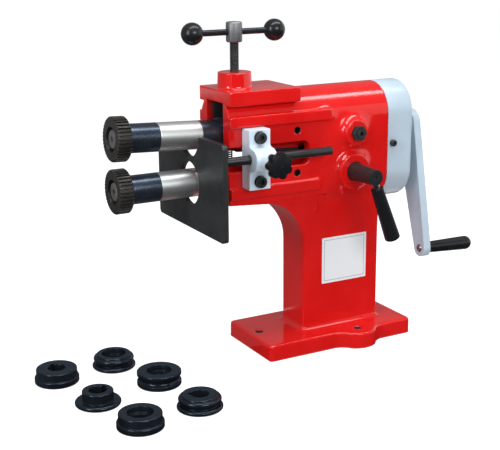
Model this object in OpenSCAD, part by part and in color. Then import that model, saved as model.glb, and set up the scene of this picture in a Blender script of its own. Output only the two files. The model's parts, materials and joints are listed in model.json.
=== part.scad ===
// Hand-operated beading machine.
// A cast stand carries two geared roller shafts. The upper shaft runs in an arm that a screw
// presses down, the lower one in a quill that an eccentric lever shifts along its axis.
// Millimetres, +Z up. The origin is on the bench under the middle of the base plate. The rollers
// point along -X, the crank is at +X and the fence is clamped on the -Y side.

/* [Base and column] */
// Length of the base plate
base_l = 203; // [190:1:230]
// Width of the base plate
base_w = 104; // [96:1:120]
// Thickness of the base plate
base_h = 20; // [14:1:26]
// Corner radius of the base plate
base_corner = 4; // [3.5:0.5:12]
// Radius on the upper edges of the base plate
base_edge = 2; // [1:0.5:3]
// How far each foot ear stands out from the plate
ear_reach = 17; // [12:1:22]
// Length of the straight part of an ear
ear_flat = 4; // [2:1:24]
// Radius of the curves that lead into an ear
ear_r = 23; // [18:0.5:26]
// Position of the ears along the base
ear_x = 24; // [10:1:30]
// Diameter of the bench bolt holes
bolt_d = 9; // [6:0.5:11]
// Distance of the front bolt hole from the front edge
bolt_inset = 14; // [10:1:20]
// Distance of an ear's bolt hole from the ear's outer edge
ear_bolt_inset = 20.5; // [14:0.5:26]
// Length of the column along the shafts
column_l = 109; // [96:1:112]
// Width of the column
column_w = 50; // [42:1:54]
// Radius of the column's upright edges
column_r = 2.5; // [2:0.5:10]
// Radius of the fillet between the column and the base
foot_fillet = 7; // [3:0.5:9]
// Distance of the column's rear face from the housing's rear face
column_setback = 2.5; // [1:0.5:8]
// Radius of the arch under the head
arch_r = 60; // [44:1:64]
// How far the head's underside drops from its front to the arch
arch_drop = 4; // [1:0.5:6]

/* [Head] */
// Height of the lower shaft above the bench
lower_z = 216; // [200:1:240]
// Height of the arm's pivot above the lower shaft
pivot_rise = 46; // [45:0.5:48]
// Position of the arm's pivot along the shafts
pivot_x = 20; // [16:1:24]
// Distance from the origin to the head's front face
head_reach = 143.5; // [130:0.5:160]
// Distance from the origin to the housing's rear face
rear_reach = 71; // [68:0.5:76]
// Width of the head across its machined pads
head_w = 68; // [66:1:74]
// How far the rails stand out from the pads
rail_out = 5; // [2:0.5:7]
// Height of each rail
rail_h = 12.5; // [8:0.5:14]
// Height of the pads between the rails
pad_h = 69; // [66:0.5:72]
// Height of the guide rod above the middle between lower shaft and pivot
guide_lift = 6; // [4:0.5:8]
// Distance of the head's underside below the lower shaft
jaw_drop = 25; // [24:0.5:27]
// Height over which the column widens into the head
flare_h = 43; // [30:1:60]
// How much shorter the lower rail is than the upper rail
rail_short = 13; // [5:1:20]
// Width of the slab on top of the head
slab_w = 78; // [70:1:80]
// Length of the slab on top of the head
slab_l = 91; // [80:1:105]
// Thickness of the slab
slab_h = 16; // [12:1:18]
// Height of the slab's top above the pivot
slab_rise = 58; // [54:1:64]
// Thickness of the roof over the arm
roof_t = 14; // [10:1:16]
// Height of the see-through slots in the side walls
slot_h = 28; // [22:1:30]
// Length of the side slots
slot_l = 106; // [90:1:112]
// Corner radius of the side slots
slot_corner = 9; // [3:0.5:11]
// Distance of the slots' middle below the guide rod
slot_drop = 2; // [0:0.5:3]

/* [Rear housing and gear cover] */
// Radius of the rounded housing
housing_r = 37; // [36:0.5:40]
// Length of the housing
housing_l = 83; // [76:1:90]
// Distance of the housing's lower centre below the lower shaft
housing_low = 8; // [4:0.5:10]
// Distance of the housing's upper centre above the pivot
housing_high = 16.5; // [14:0.5:18]
// Depth of the gear cover
cover_depth = 37.5; // [35:0.5:42]
// Wall of the gear cover
cover_wall = 4; // [3:0.5:5]
// Radius on the rear edge of the gear cover
cover_edge = 6; // [5.5:0.5:9]
// Diameter of the hole for the upper shaft in the gear cover
cover_hole_d = 30; // [28:0.5:34]
// Diameter of the cover screws
cover_screw_d = 5; // [4:0.5:6]
// Distance of the cover screws behind the housing
cover_screw_x = 6.5; // [6:0.5:9]
// Root diameter of the bosses for the pivot screws
pivot_boss_d = 46; // [42:1:50]
// Height of the bosses for the pivot screws
pivot_boss_h = 10; // [6:0.5:12]
// Diameter of the pivot screws
pivot_screw_d = 10; // [6:0.5:11]
// Root diameter of the boss for the lever
lever_boss_d = 56; // [52:1:60]
// Height of the boss for the lever
lever_boss_h = 9; // [6:0.5:12]

/* [Rollers and shafts] */
// Outer diameter of the rollers
roll_d = 50; // [48:0.5:53]
// Width of the toothed rollers
roll_w = 16; // [14:0.5:20]
// Number of teeth on a toothed roller
roll_teeth = 36; // [24:1:48]
// Depth of the teeth on a toothed roller
tooth_h = 2; // [1:0.25:3]
// Opening between the rollers at rest
roll_gap = 8.2; // [7.5:0.1:10]
// Bore of the rollers
roll_bore = 20; // [18:0.5:22]
// Diameter of the recess in a roller's face
recess_d = 28; // [26:0.5:31]
// Depth of the recess in a roller's face
recess_h = 7; // [6:0.5:8]
// Outer diameter of the collars and sleeves
sleeve_d = 32.6; // [31:0.1:34]
// Length of the spacer collars
collar_l = 37; // [28:1:45]
// Length of the ground sleeves
sleeve_l = 51; // [40:1:60]
// Length of shaft that shows between head and ground sleeve
nose_l = 22.5; // [18:0.5:26]
// Diameter of the shafts in their bushes
journal_d = 25; // [24:0.5:26]
// Outer diameter of the bushes
bush_d = 30; // [29:0.5:31]
// Length of the bushes
bush_l = 30; // [20:1:40]
// Thickness of the bush flanges
bush_flange = 2; // [1.5:0.25:3]
// Outer diameter of the upper bearing arm
arm_d = 38; // [37:0.5:40]
// Outer diameter of the lower bearing quill
quill_d = 36; // [35:0.5:37]
// Distance of the bearing ends inside the head's front face
bearing_inset = 3.5; // [2:0.5:6]
// Distance of the bearing ends inside the housing's rear face
bearing_rear = 5; // [4:0.5:7]
// Width of the keys
key_w = 5; // [4:0.5:6]
// Diameter of the screws in the shaft ends
end_screw_d = 8; // [6:0.5:9]

/* [Gears] */
// Number of teeth on each gear
gear_teeth = 14; // [14:4:18]
// Face width of the gears
gear_w = 16; // [12:0.5:18]
// Distance of the gears behind the housing
gear_x = 6; // [5:0.5:8]
// Spare centre distance of the gears at rest
gear_slack = 1.2; // [0.8:0.1:1.6]
// Thinning of each gear tooth
gear_backlash = 0.5; // [0.3:0.1:0.8]
// Bore of the gears
gear_bore = 22; // [21:0.5:23]

/* [Crank] */
// Radius of the crank from shaft to grip pin
crank_r = 157.5; // [130:0.5:180]
// Diameter of the crank arm at the hub
crank_hub_d = 38; // [34:1:44]
// Diameter of the crank arm at the grip
crank_end_d = 21; // [18:0.5:26]
// Thickness of the crank arm
crank_t = 10.5; // [8:0.5:14]
// Distance from gear cover to crank arm
crank_gap = 14.5; // [10:0.5:20]
// Angle of the crank from straight down at rest
crank_swing = 17; // [0:1:60]
// Length of the crank grip
grip_l = 70; // [55:1:90]
// Largest diameter of the crank grip
grip_d = 17.5; // [15:0.5:24]
// Diameter of the crank grip beside the arm
grip_neck_d = 14; // [11:0.5:15]
// Diameter of the grip pin
pin_d = 7; // [5:0.5:8]

/* [Press screw] */
// Distance of the press screw behind the head's front face
press_inset = 26; // [24:0.5:32]
// Diameter of the press screw
screw_d = 10.5; // [8:0.5:12]
// Thread that shows between boss and hub at rest
screw_show = 33; // [20:1:45]
// Root diameter of the boss on the slab
boss_d = 40; // [34:0.2:42]
// Top diameter of the boss on the slab
boss_top_d = 38.2; // [32:0.2:40]
// Height of the boss on the slab
boss_h = 18; // [12:1:24]
// Diameter of the screw's hub
hub_d = 18.4; // [17:0.2:24]
// Height of the screw's hub
hub_h = 22.5; // [20:0.5:30]
// Diameter of the tommy bar
bar_d = 7; // [5:0.5:8]
// Distance between the middles of the ball knobs
bar_span = 104; // [80:1:130]
// Diameter of the ball knobs
ball_d = 25; // [20:0.5:30]
// Diameter of the press shoe
shoe_d = 20; // [16:0.5:24]
// Height of the press shoe
shoe_h = 9; // [8:0.5:10]
// Height of the arm's pressure pad above the upper shaft
pressure_pad_h = 21; // [20:0.5:23]
// Outer diameter of the return spring
spring_d = 12.6; // [11:0.2:13]
// Wire diameter of the return spring
spring_wire = 1.5; // [1:0.1:1.6]
// Number of curls in the return spring
spring_turns = 5; // [3:0.5:5.5]
// Distance of the return spring behind the head's front face
spring_inset = 15.5; // [12:0.5:16]

/* [Lever] */
// Position of the lever's shaft along the shafts
lever_x = 18.5; // [14:0.5:22]
// Diameter of the eccentric shaft in its boss
ecc_d = 22; // [19:0.5:24]
// Diameter of the eccentric shaft's outer end
ecc_tip_d = 18.5; // [15:0.5:21]
// Length of the eccentric shaft outside its boss
ecc_out = 42.5; // [34:0.5:50]
// Throw of the eccentric pin
ecc_throw = 3; // [2:0.25:3.5]
// Diameter of the eccentric pin
ecc_pin_d = 8; // [6:0.5:9]
// Angle of the lever from straight down at rest
lever_angle = 21; // [0:1:45]
// Distance of the lever from the eccentric shaft's outer end
lever_inset = 6; // [5:0.5:10]
// Diameter of the lever's rod
lever_rod_d = 8; // [6:0.5:9]
// Length of the lever's grip
lever_grip_l = 68; // [50:1:90]
// Diameter of the lever's grip at its tip
lever_grip_d = 18.5; // [15:0.5:22]
// Diameter of the lever's grip at its neck
lever_neck_d = 14.5; // [11:0.5:15]
// Length of bare rod between eccentric shaft and grip
lever_bare = 6; // [3:0.5:12]

/* [Fence and guide] */
// Thickness of the fence plate
fence_t = 6; // [4:0.5:8]
// Width of the fence plate
fence_w = 169; // [150:1:190]
// Height of the fence plate
fence_h = 108.5; // [100:0.5:114]
// Distance of the fence plate's lower edge below the lower shaft
fence_drop = 52.5; // [45:0.5:60]
// Diameter of the fence plate's hole and notch
fence_hole_d = 50; // [46:1:54]
// Height of the web between hole and notch
fence_web = 5; // [4:0.5:7]
// Corner radius of the fence plate
fence_corner = 5; // [2:0.5:10]
// Distance of the fence plate's rear face from the head at rest
fence_gap = 27.5; // [26:0.5:40]
// Diameter of the guide rod
rod_d = 10; // [8:0.5:13]
// Length of the guide rod behind the fence plate
rod_l = 151; // [140:1:165]
// Height of the guide rod above the middle of the bracket
rod_lift = 1; // [0:0.5:2]
// Distance of the guide rod from the pads
rod_out = 17.5; // [16:0.5:20]
// Length of the bracket along the rod
bracket_l = 26.5; // [22:0.5:32]
// Thickness of the bracket's ears
bracket_ear = 18.5; // [16:0.5:20]
// Radius of the bracket's round middle
hump_r = 13; // [11:0.5:13]
// Distance of that round middle in front of the guide rod
hump_lift = 5.5; // [2:0.5:8]
// Radius of the fillets beside the bracket's round middle
hump_fillet = 5; // [3:0.5:5]
// Distance of the bracket's middle from the head's front face
bracket_inset = 29.3; // [24:0.1:36]
// Distance between the two places for the bracket
bracket_pitch = 60; // [50:1:66]
// Distance between the bracket's screws
bracket_span = 50; // [48:0.5:52]
// Diameter of the bracket's screws
bracket_screw_d = 8; // [6:0.5:9]
// Diameter of the star knob
knob_d = 30; // [24:1:36]
// Diameter of the star knob's stud
stud_d = 8; // [6:0.5:9]
// Number of lobes on the star knob
knob_lobes = 7; // [5:1:9]
// Thickness of the star knob's lobed part
knob_t = 12; // [10:1:20]
// Distance of the star knob from the bracket's round middle
knob_stand = 14.5; // [6:0.5:18]
// Diameter of the bracket's boss behind the star knob
stud_boss_d = 18; // [14:0.5:22]

/* [Spare rollers] */
// Height of the spare rollers
spare_h = 16.5; // [15:0.5:22]
// Distance from the origin to the middle of the spare set
spare_reach = 283; // [270:1:340]
// Where the keyed step roller lies, from the middle of the set
step_keyed_at = [-55, 21.5]; // [-200:0.5:200]
// Where the recessed step roller lies
step_open_at = [-18.5, -133.5]; // [-200:0.5:200]
// Where the recessed bead roller lies
bead_open_at = [17.5, 30.5]; // [-200:0.5:200]
// Where the keyed bead roller lies
bead_keyed_at = [54.5, -123]; // [-200:0.5:200]
// Where the groove roller lies
groove_at = [43, -42.5]; // [-200:0.5:200]
// Where the flange roller lies
flange_at = [-36.5, -59.5]; // [-200:0.5:200]

/* [Clearances] */
// Radial clearance of pieces that turn or slide in each other
running_fit = 0.05; // [0.02:0.01:0.1]
// Radial clearance of pieces that are fixed in each other
seat_fit = 0.02; // [0.01:0.01:0.04]
// Gap between faces that move past each other
side_gap = 0.3; // [0.2:0.05:0.5]
// Gap between the arm and the walls of the head
arm_gap = 1; // [0.6:0.1:1.5]

/* [Hidden] */
$fn = 64;
over = 1; // how far a cutting shape reaches past the face it cuts
dip = 0.3; // how far a fillet's arc runs into the wall it meets
chamfer = 0.8; // broken edges of turned pieces
fine_chamfer = 0.4; // broken edges of rings and washers

// Colours
cast_red = [0.82, 0.09, 0.08];
pale_grey = [0.74, 0.78, 0.82];
oxide_black = [0.16, 0.17, 0.19];
ground_steel = [0.78, 0.77, 0.75];
gloss_black = [0.05, 0.05, 0.06];
bronze = [0.72, 0.52, 0.28];

// Heights
pivot_z = lower_z + pivot_rise;
guide_z = (lower_z + pivot_z) / 2 + guide_lift;
head_bottom = lower_z - jaw_drop;
slab_top = pivot_z + slab_rise;
roof_z = slab_top - roof_t;
housing_low_z = lower_z - housing_low;
housing_high_z = pivot_z + housing_high;
housing_mid_z = (housing_low_z + housing_high_z) / 2;
slot_z = guide_z - slot_drop - slot_h / 2;
rod_z = guide_z + rod_lift;
flare_z = head_bottom - flare_h;

// Places along the shafts
head_front = -head_reach;
rear_x = rear_reach;
housing_front = rear_x - housing_l;
column_rear = rear_x - column_setback;
column_front = column_rear - column_l;
column_mid = (column_front + column_rear) / 2;
slot_end = head_front + slot_l;
press_x = head_front + press_inset;
bracket_x = head_front + bracket_inset;
nose_x = head_front - nose_l;
sleeve_x = nose_x - sleeve_l;
collar_x = sleeve_x - collar_l;
roll_x = collar_x - roll_w;
roll_mid = roll_x + roll_w / 2;
recess_x = roll_x + recess_h;
spigot_x = recess_x + side_gap;
bearing_x = head_front + bearing_inset;
bearing_end = rear_x - bearing_rear;
shoulder_x = bearing_x - bush_flange - side_gap;
hub_x = bearing_end + bush_flange + side_gap;
gear_front = rear_x + gear_x;
gear_rear = gear_front + gear_w;
cover_rear = rear_x + cover_depth;
crank_x = cover_rear + crank_gap;
crank_back = crank_x + crank_t;
fence_x = head_front - fence_gap;

// The arm's lift at rest comes from the opening between the rollers
rest_tilt = atan((lower_z + roll_d + roll_gap - pivot_z) / (pivot_x - roll_mid));
gear_cd = pivot_z - (gear_front + gear_w / 2 - pivot_x) * tan(rest_tilt) - lower_z;

// Places across the head
pad_y = head_w / 2;
cavity_w = arm_d + 2 * arm_gap;
rod_y = -(pad_y + rod_out);
hump_mid = rod_y - hump_lift;
hump_y = hump_mid - hump_r;
pivot_face = housing_r + pivot_boss_h;
lever_face = -(housing_r + lever_boss_h);
ecc_end = lever_face - ecc_out;
lever_y = ecc_end + lever_inset;

// Fasteners: head sizes as shares of the thread diameter, as on socket screws
function head_d(d) = 1.6 * d;
function head_h(d) = d;
function socket_w(d) = 0.85 * d;
function set_socket_w(d) = 0.6 * d;
end_washer_t = 2;
end_head_h = 3.5;
end_head_d = 2.6 * end_screw_d;
end_hold = 2.5 * end_screw_d; // how far an end screw reaches into its shaft
end_tap = 3 * end_screw_d;
washer_slack = 0.6;
ring_t = 2;
ring_rim = 3.5;
tap_depth = 12;
tap_spare = 2; // room left at the bottom of a tapped hole
cover_hold = 5; // how far a cover screw reaches into its lug
nut_t = 0.6 * pivot_screw_d;
nut_w = 1.9 * pivot_screw_d;
pivot_hold = 4; // how far a pivot screw reaches into the arm
pivot_proud = 2.5; // how far it stands out of its nut

// Shafts behind the bushes
spigot_d = roll_bore - 2 * seat_fit;
gear_seat_d = gear_bore - 2 * seat_fit;
tail_step = 1.5; // steps down behind the gear
crank_step = 1;
tail_d = gear_bore - 2 * tail_step;
crank_bore = tail_d - 2 * crank_step;
key_depth = 3;
key_h = 5;
key_slack = 0.3;
gear_hub_wall = 4;
hub_out_d = gear_bore + 2 * gear_hub_wall;
keyed_inset = 1;
journal_relief = 2; // wider bore between the two bushes of a bearing
bush_rim = 0.5; // how far a bush's flange stays inside its bearing's edge
crank_boss_wall = 6;
crank_washer_rim = 4.5;
crank_stand = 3.5; // gap between gear cover and crank boss

// Press screw
pad_d = 18;
hub_chamfer = 1.2;
slab_corner = 2;
bar_wall = 1; // metal between the screw's end and the tommy bar
press_s = (press_x - pivot_x - pressure_pad_h * sin(rest_tilt)) / cos(rest_tilt);
press_pad_z = pivot_z - press_s * sin(rest_tilt) + pressure_pad_h * cos(rest_tilt);
shoe_z = press_pad_z + side_gap;
shoe_dome_r = 60;
screw_nose_d = 0.7 * screw_d;
screw_nose_l = 5;
screw_z = shoe_z + shoe_h + side_gap;
hub_z = slab_top + boss_h + screw_show;
bar_z = hub_z + hub_h / 2;
screw_top = bar_z - bar_d / 2 - bar_wall;

// Return spring between the lower bearing and the arm
bulge_inset = 2; // distance of the lower bearing's outside from the underside
bulge_d = 2 * (jaw_drop - bulge_inset);
spring_x = head_front + spring_inset;
spring_pocket = 2;
spring_base = lower_z + bulge_d / 2 - spring_pocket;
spring_s = (spring_x - pivot_x) / cos(rest_tilt);
spring_roof = pivot_z - spring_s * sin(rest_tilt) - (arm_d / 2 - spring_pocket) * cos(rest_tilt);
spring_tilt_room = spring_d / 2 * tan(rest_tilt);
spring_h = spring_roof - spring_base - spring_tilt_room - side_gap;
spring_pitch = (spring_h - spring_wire) / spring_turns;
spring_rings = 8;
spring_sides = 6;
pocket_d = spring_d + 1.4;

// Rib under the arm, narrower and shallower in front of keel_x
keel_x = press_x + 0.75 * pad_d;
keel_w = 24;
keel_depth = 4.5;
nose_keel_w = 16;
nose_keel_depth = 2.2;
keel_inset = 2; // its distance from the spring's pocket and from the slots' end

// Plain shapes

// Round bar along X
module bar_x(d, x0, x1) {
    translate([x0, 0, 0])
        rotate([0, 90, 0])
            cylinder(d = d, h = x1 - x0);
}

// Round bar along Y, y0 below y1
module bar_y(d, y0, y1) {
    translate([0, y1, 0])
        rotate([90, 0, 0])
            cylinder(d = d, h = y1 - y0);
}

// Cone along Y with diameter d0 at y0 and d1 at y1
module cone_y(d0, d1, y0, y1) {
    translate([0, y1, 0])
        rotate([90, 0, 0])
            cylinder(d1 = d1, d2 = d0, h = y1 - y0);
}

// Profile of radius and length turned about the X axis
module lathe_x(x0) {
    translate([x0, 0, 0])
        rotate([0, 90, 0])
            rotate_extrude()
                children();
}

// Profile in Y and Z drawn out along X
module section_x(x0, x1) {
    translate([x0, 0, 0])
        rotate([90, 0, 90])
            linear_extrude(x1 - x0)
                children();
}

// Profile in X and Z drawn out along Y, half to each side
module section_y(w) {
    rotate([90, 0, 0])
        linear_extrude(w, center = true)
            children();
}

module both_sides() {
    children();
    mirror([0, 1, 0])
        children();
}

module round_rect(l, w, r) {
    square([l - 2 * r, w], center = true);
    square([l, w - 2 * r], center = true);
    for (sx = [-1, 1], sy = [-1, 1])
        translate([sx * (l / 2 - r), sy * (w / 2 - r)])
            circle(r);
}

// Half section of a plate whose upper outer edge is rounded
module edge_profile(reach, h, e) {
    square([reach, h - e]);
    square([reach - e, h]);
    translate([reach - e, h - e])
        intersection() {
            circle(e);
            square(e);
        }
}

// Ring section with chamfered corners, from z0 to z1
module band(r, z0, z1, c = chamfer) {
    polygon([[0, z0], [r - c, z0], [r, z0 + c], [r, z1 - c], [r - c, z1], [0, z1]]);
}

// Socket screw along +Z: the shank below z = 0, the head above it
module socket_screw(d, shank) {
    difference() {
        union() {
            translate([0, 0, -shank])
                cylinder(d = d, h = shank + head_h(d) / 2);
            rotate_extrude()
                band(head_d(d) / 2, 0, head_h(d));
        }
        translate([0, 0, head_h(d) / 2])
            cylinder(d = socket_w(d), h = head_h(d), $fn = 6);
    }
}

// Set screw along +Z: its socketed end stands out above z = 0
module set_screw(d, shank, out) {
    difference() {
        translate([0, 0, -shank])
            cylinder(d = d, h = shank + out);
        translate([0, 0, out - d / 2])
            cylinder(d = set_socket_w(d), h = d, $fn = 6);
    }
}

// The shaft axes: both take places along X as they are counted on the stand
module on_upper_axis() {
    translate([pivot_x, 0, pivot_z])
        rotate([0, rest_tilt, 0])
            translate([-pivot_x, 0, 0])
                children();
}

module on_lower_axis() {
    translate([0, 0, lower_z])
        children();
}

// Stand

module base_puck(r) {
    rotate_extrude()
        edge_profile(r, base_h, base_edge);
}

module base_bar(half_w) {
    edge_profile(half_w, base_h, base_edge);
    mirror([1, 0])
        edge_profile(half_w, base_h, base_edge);
}

module base_plate() {
    inner_l = base_l / 2 - base_corner;
    inner_w = base_w / 2 - base_corner;
    for (sx = [-1, 1], sy = [-1, 1])
        translate([sx * inner_l, sy * inner_w, 0])
            base_puck(base_corner);
    section_x(-inner_l, inner_l)
        base_bar(base_w / 2);
    rotate([0, 0, 90])
        section_x(-inner_w, inner_w)
            base_bar(base_l / 2);
}

// An ear leaves the plate and comes to its straight nose in two equal arcs
ear_sweep = sqrt(4 * ear_r * ear_reach - ear_reach * ear_reach);
ear_half = ear_flat / 2 + ear_sweep;

module ear_hollow() {
    translate([0, 0, -over])
        cylinder(r = ear_r, h = base_h + 2 * over);
    rotate_extrude()
        translate([ear_r, base_h - base_edge])
            difference() {
                square(base_edge + over);
                translate([base_edge, 0])
                    circle(base_edge);
                translate([base_edge, -over])
                    square(base_edge + 3 * over);
            }
}

module ear() {
    translate([ear_x, base_w / 2, 0])
        difference() {
            union() {
                for (s = [-1, 1])
                    translate([s * ear_flat / 2, ear_reach - ear_r, 0])
                        base_puck(ear_r);
                section_x(-ear_flat / 2, ear_flat / 2)
                    translate([-base_corner, 0])
                        edge_profile(ear_reach + base_corner, base_h, base_edge);
                translate([-ear_half, -base_corner, 0])
                    cube([2 * ear_half, base_corner + ear_reach / 2, base_h]);
            }
            for (s = [-1, 1])
                translate([s * (ear_half - 2 * dip), ear_r, 0])
                    ear_hollow();
        }
}

module base_holes() {
    ear_bolt_y = base_w / 2 + ear_reach - ear_bolt_inset;
    for (at = [[-base_l / 2 + bolt_inset, 0], [ear_x, ear_bolt_y], [ear_x, -ear_bolt_y]])
        translate([at[0], at[1], -over])
            cylinder(d = bolt_d, h = base_h + 2 * over);
}

// Concave section of the column's foot
module foot_section() {
    difference() {
        translate([-over, -over])
            square(foot_fillet + over);
        translate([foot_fillet - dip, foot_fillet - dip])
            circle(foot_fillet);
        translate([-2 * over, foot_fillet - dip])
            square(foot_fillet);
    }
}

// A section with x pointing outwards, led around an upright rounded block
module around(l, w, r) {
    for (i = [0 : 3]) {
        run = (i % 2 == 0 ? w : l) - 2 * r;
        out = (i % 2 == 0 ? l : w) / 2;
        rotate([0, 0, 90 * i]) {
            translate([out, run / 2, 0])
                rotate([90, 0, 0])
                    linear_extrude(run)
                        children();
            translate([out - r, run / 2, 0])
                rotate_extrude(angle = 90)
                    translate([r, 0])
                        children();
        }
    }
}

module column() {
    translate([column_mid, 0, base_h / 2])
        linear_extrude(lower_z - base_h / 2)
            round_rect(column_l, column_w, column_r);
    translate([column_mid, 0, base_h])
        around(column_l, column_w, column_r)
            foot_section();
}

// Side view of the web between column and head: the underside runs straight into the arch
module arch_profile() {
    mid = [column_front - arch_r + dip, head_bottom - arch_drop - arch_r + dip];
    front = [head_front, head_bottom];
    out = front - mid;
    turn = atan2(out[1], out[0]) - acos(arch_r / norm(out));
    meet = mid + arch_r * [cos(turn), sin(turn)];
    difference() {
        translate([head_front, mid[1]])
            square([housing_front - rail_short - head_front, head_bottom - mid[1] + over]);
        translate(mid)
            circle(arch_r);
        polygon([
            front - [over, 0], front, meet, mid,
            mid - [0, over], [head_front - over, mid[1] - over]
        ]);
        translate([mid[0] - over, mid[1] - over])
            square([arch_r + over, dip + over]);
    }
}

// The web widens from the column to the head in a hollow curve on each side
module arch_web() {
    rise = (head_w - column_w) / 2;
    flare_r = (flare_h * flare_h + rise * rise) / (2 * rise);
    section_y(column_w - 2 * dip)
        arch_profile();
    intersection() {
        section_y(head_w)
            arch_profile();
        section_x(head_front, housing_front)
            difference() {
                translate([-pad_y, flare_z])
                    square([head_w, flare_h + 2 * over]);
                for (s = [-1, 1])
                    translate([s * (column_w / 2 + flare_r - dip), flare_z])
                        circle(flare_r, $fn = 180);
            }
    }
}

module rail_section(z0) {
    translate([-pad_y - rail_out, z0])
        square([head_w + 2 * rail_out, rail_h]);
}

module head() {
    upper_rail = guide_z + pad_h / 2;
    lower_rail = guide_z - pad_h / 2 - rail_h;
    section_x(head_front, housing_front + over) {
        translate([-pad_y, head_bottom])
            square([head_w, upper_rail + over - head_bottom]);
        rail_section(upper_rail);
        intersection() {
            translate([0, housing_high_z])
                circle(housing_r);
            translate([-housing_r, upper_rail])
                square([2 * housing_r, slab_top - upper_rail - over]);
        }
    }
    section_x(head_front, housing_front - rail_short)
        rail_section(lower_rail);
    translate([head_front + slab_l / 2, 0, slab_top - slab_h])
        linear_extrude(slab_h)
            round_rect(slab_l, slab_w, slab_corner);
    translate([press_x, 0, slab_top - over])
        cylinder(d1 = boss_d, d2 = boss_top_d, h = boss_h + over);
}

module obround(r) {
    translate([0, housing_low_z])
        circle(r);
    translate([0, housing_high_z])
        circle(r);
    translate([-r, housing_low_z])
        square([2 * r, housing_high_z - housing_low_z]);
}

module housing() {
    boss_sink = 4;
    boss_root = -pad_y + boss_sink;
    pivot_taper = 16;
    lever_taper = 15;
    lug_y = housing_r - cover_wall - side_gap;
    lug_t = 6;
    section_x(housing_front, rear_x)
        obround(housing_r);
    both_sides()
        translate([pivot_x, 0, pivot_z])
            cone_y(pivot_boss_d - pivot_taper, pivot_boss_d, -pivot_face, boss_root);
    translate([lever_x, 0, lower_z])
        cone_y(lever_boss_d - lever_taper, lever_boss_d, lever_face, boss_root);
    both_sides()
        translate([rear_x - over, lug_y - lug_t, housing_mid_z - 1.5 * cover_screw_d])
            cube([2 * cover_screw_x + over, lug_t, 3 * cover_screw_d]);
}

// Open slot in both side walls, rounded at its closed end
module side_slot() {
    mid = (head_front - over + slot_end) / 2;
    translate([mid - over, slot_z + slot_h / 2])
        round_rect(slot_end - head_front + 3 * over, slot_h, slot_corner);
    translate([head_front - 3 * over, slot_z])
        square([slot_l / 2, slot_h]);
}

module bracket_taps() {
    both_sides()
        for (x = [bracket_x, bracket_x + bracket_pitch], s = [-1, 1])
            translate([x, 0, guide_z + s * bracket_span / 2])
                bar_y(bracket_screw_d + 2 * seat_fit, -pad_y - over, -pad_y + tap_depth);
}

module frame_casting() {
    color(cast_red)
        difference() {
            union() {
                difference() {
                    union() {
                        base_plate();
                        both_sides()
                            ear();
                        column();
                        arch_web();
                        head();
                        housing();
                    }
                    section_x(head_front - over, rear_x + over)
                        translate([-cavity_w / 2, slot_z])
                            square([cavity_w, roof_z - slot_z]);
                    section_y(4 * head_w)
                        side_slot();
                }
                on_lower_axis()
                    bar_x(bulge_d, head_front, rear_x);
            }
            base_holes();
            on_lower_axis()
                bar_x(quill_d + 2 * running_fit, head_front - over, rear_x + over);
            translate([press_x, 0, roof_z - over])
                cylinder(d = screw_d + 2 * running_fit, h = roof_t + boss_h + 2 * over);
            translate([pivot_x, 0, pivot_z])
                bar_y(pivot_screw_d + 2 * seat_fit, -pivot_face - over, pivot_face + over);
            translate([lever_x, 0, lower_z])
                bar_y(ecc_d + 2 * running_fit, lever_face - over, 0);
            translate([spring_x, 0, spring_base])
                cylinder(d = pocket_d, h = bulge_d);
            bracket_taps();
            translate([rear_x + cover_screw_x, 0, housing_mid_z])
                both_sides()
                    bar_y(cover_screw_d + 2 * seat_fit, -housing_r, -cavity_w / 2);
        }
}

// Rounded pot of the gear cover's outline, open towards the housing
module pot(r, depth, e) {
    for (z = [housing_low_z, housing_high_z])
        translate([0, 0, z])
            lathe_x(0)
                edge_profile(r, depth, e);
    translate([0, 0, housing_low_z])
        linear_extrude(housing_high_z - housing_low_z)
            both_sides()
                mirror([1, 0])
                    rotate(90)
                        edge_profile(r, depth, e);
}

module gear_cover() {
    hole_z = pivot_z - (cover_rear - pivot_x) * tan(rest_tilt);
    color(pale_grey)
        translate([rear_x, 0, 0])
            difference() {
                pot(housing_r, cover_depth, cover_edge);
                translate([-over, 0, 0])
                    pot(housing_r - cover_wall, cover_depth - cover_wall + over, cover_edge - cover_wall);
                translate([0, 0, hole_z])
                    bar_x(cover_hole_d, cover_depth - 2 * cover_wall, cover_depth + over);
                translate([cover_screw_x, 0, housing_mid_z])
                    bar_y(cover_screw_d + 2 * seat_fit, -housing_r - over, housing_r + over);
            }
}

module cover_screws() {
    shank = cover_wall + cover_hold;
    color(oxide_black)
        both_sides()
            translate([rear_x + cover_screw_x, -housing_r, housing_mid_z])
                rotate([90, 0, 0])
                    socket_screw(cover_screw_d, shank);
}

module pivot_screws() {
    shank = pivot_face + nut_t - arm_d / 2 + pivot_hold;
    color(oxide_black)
        both_sides()
            translate([pivot_x, -pivot_face - nut_t, pivot_z])
                rotate([90, 0, 0])
                    set_screw(pivot_screw_d, shank, pivot_proud);
}

module pivot_locknuts() {
    color(oxide_black)
        both_sides()
            translate([pivot_x, -pivot_face, pivot_z])
                rotate([90, 0, 0])
                    difference() {
                        cylinder(d = nut_w, h = nut_t, $fn = 6);
                        translate([0, 0, -over])
                            cylinder(d = pivot_screw_d + 2 * seat_fit, h = nut_t + 2 * over);
                    }
}

// Points of the spring's wire: one ring of the tube for every eighth of a curl
function spring_point(i) =
    let (a = 360 * i / spring_rings, r = (spring_d - spring_wire) / 2)
    [r * cos(a), r * sin(a), spring_wire / 2 + spring_pitch * i / spring_rings];
function spring_ring(i) =
    let (a = 360 * i / spring_rings, c = spring_point(i))
    [for (k = [0 : spring_sides - 1])
        let (b = 360 * k / spring_sides)
        c + spring_wire / 2 * [cos(a) * cos(b), sin(a) * cos(b), sin(b)]];

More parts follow.
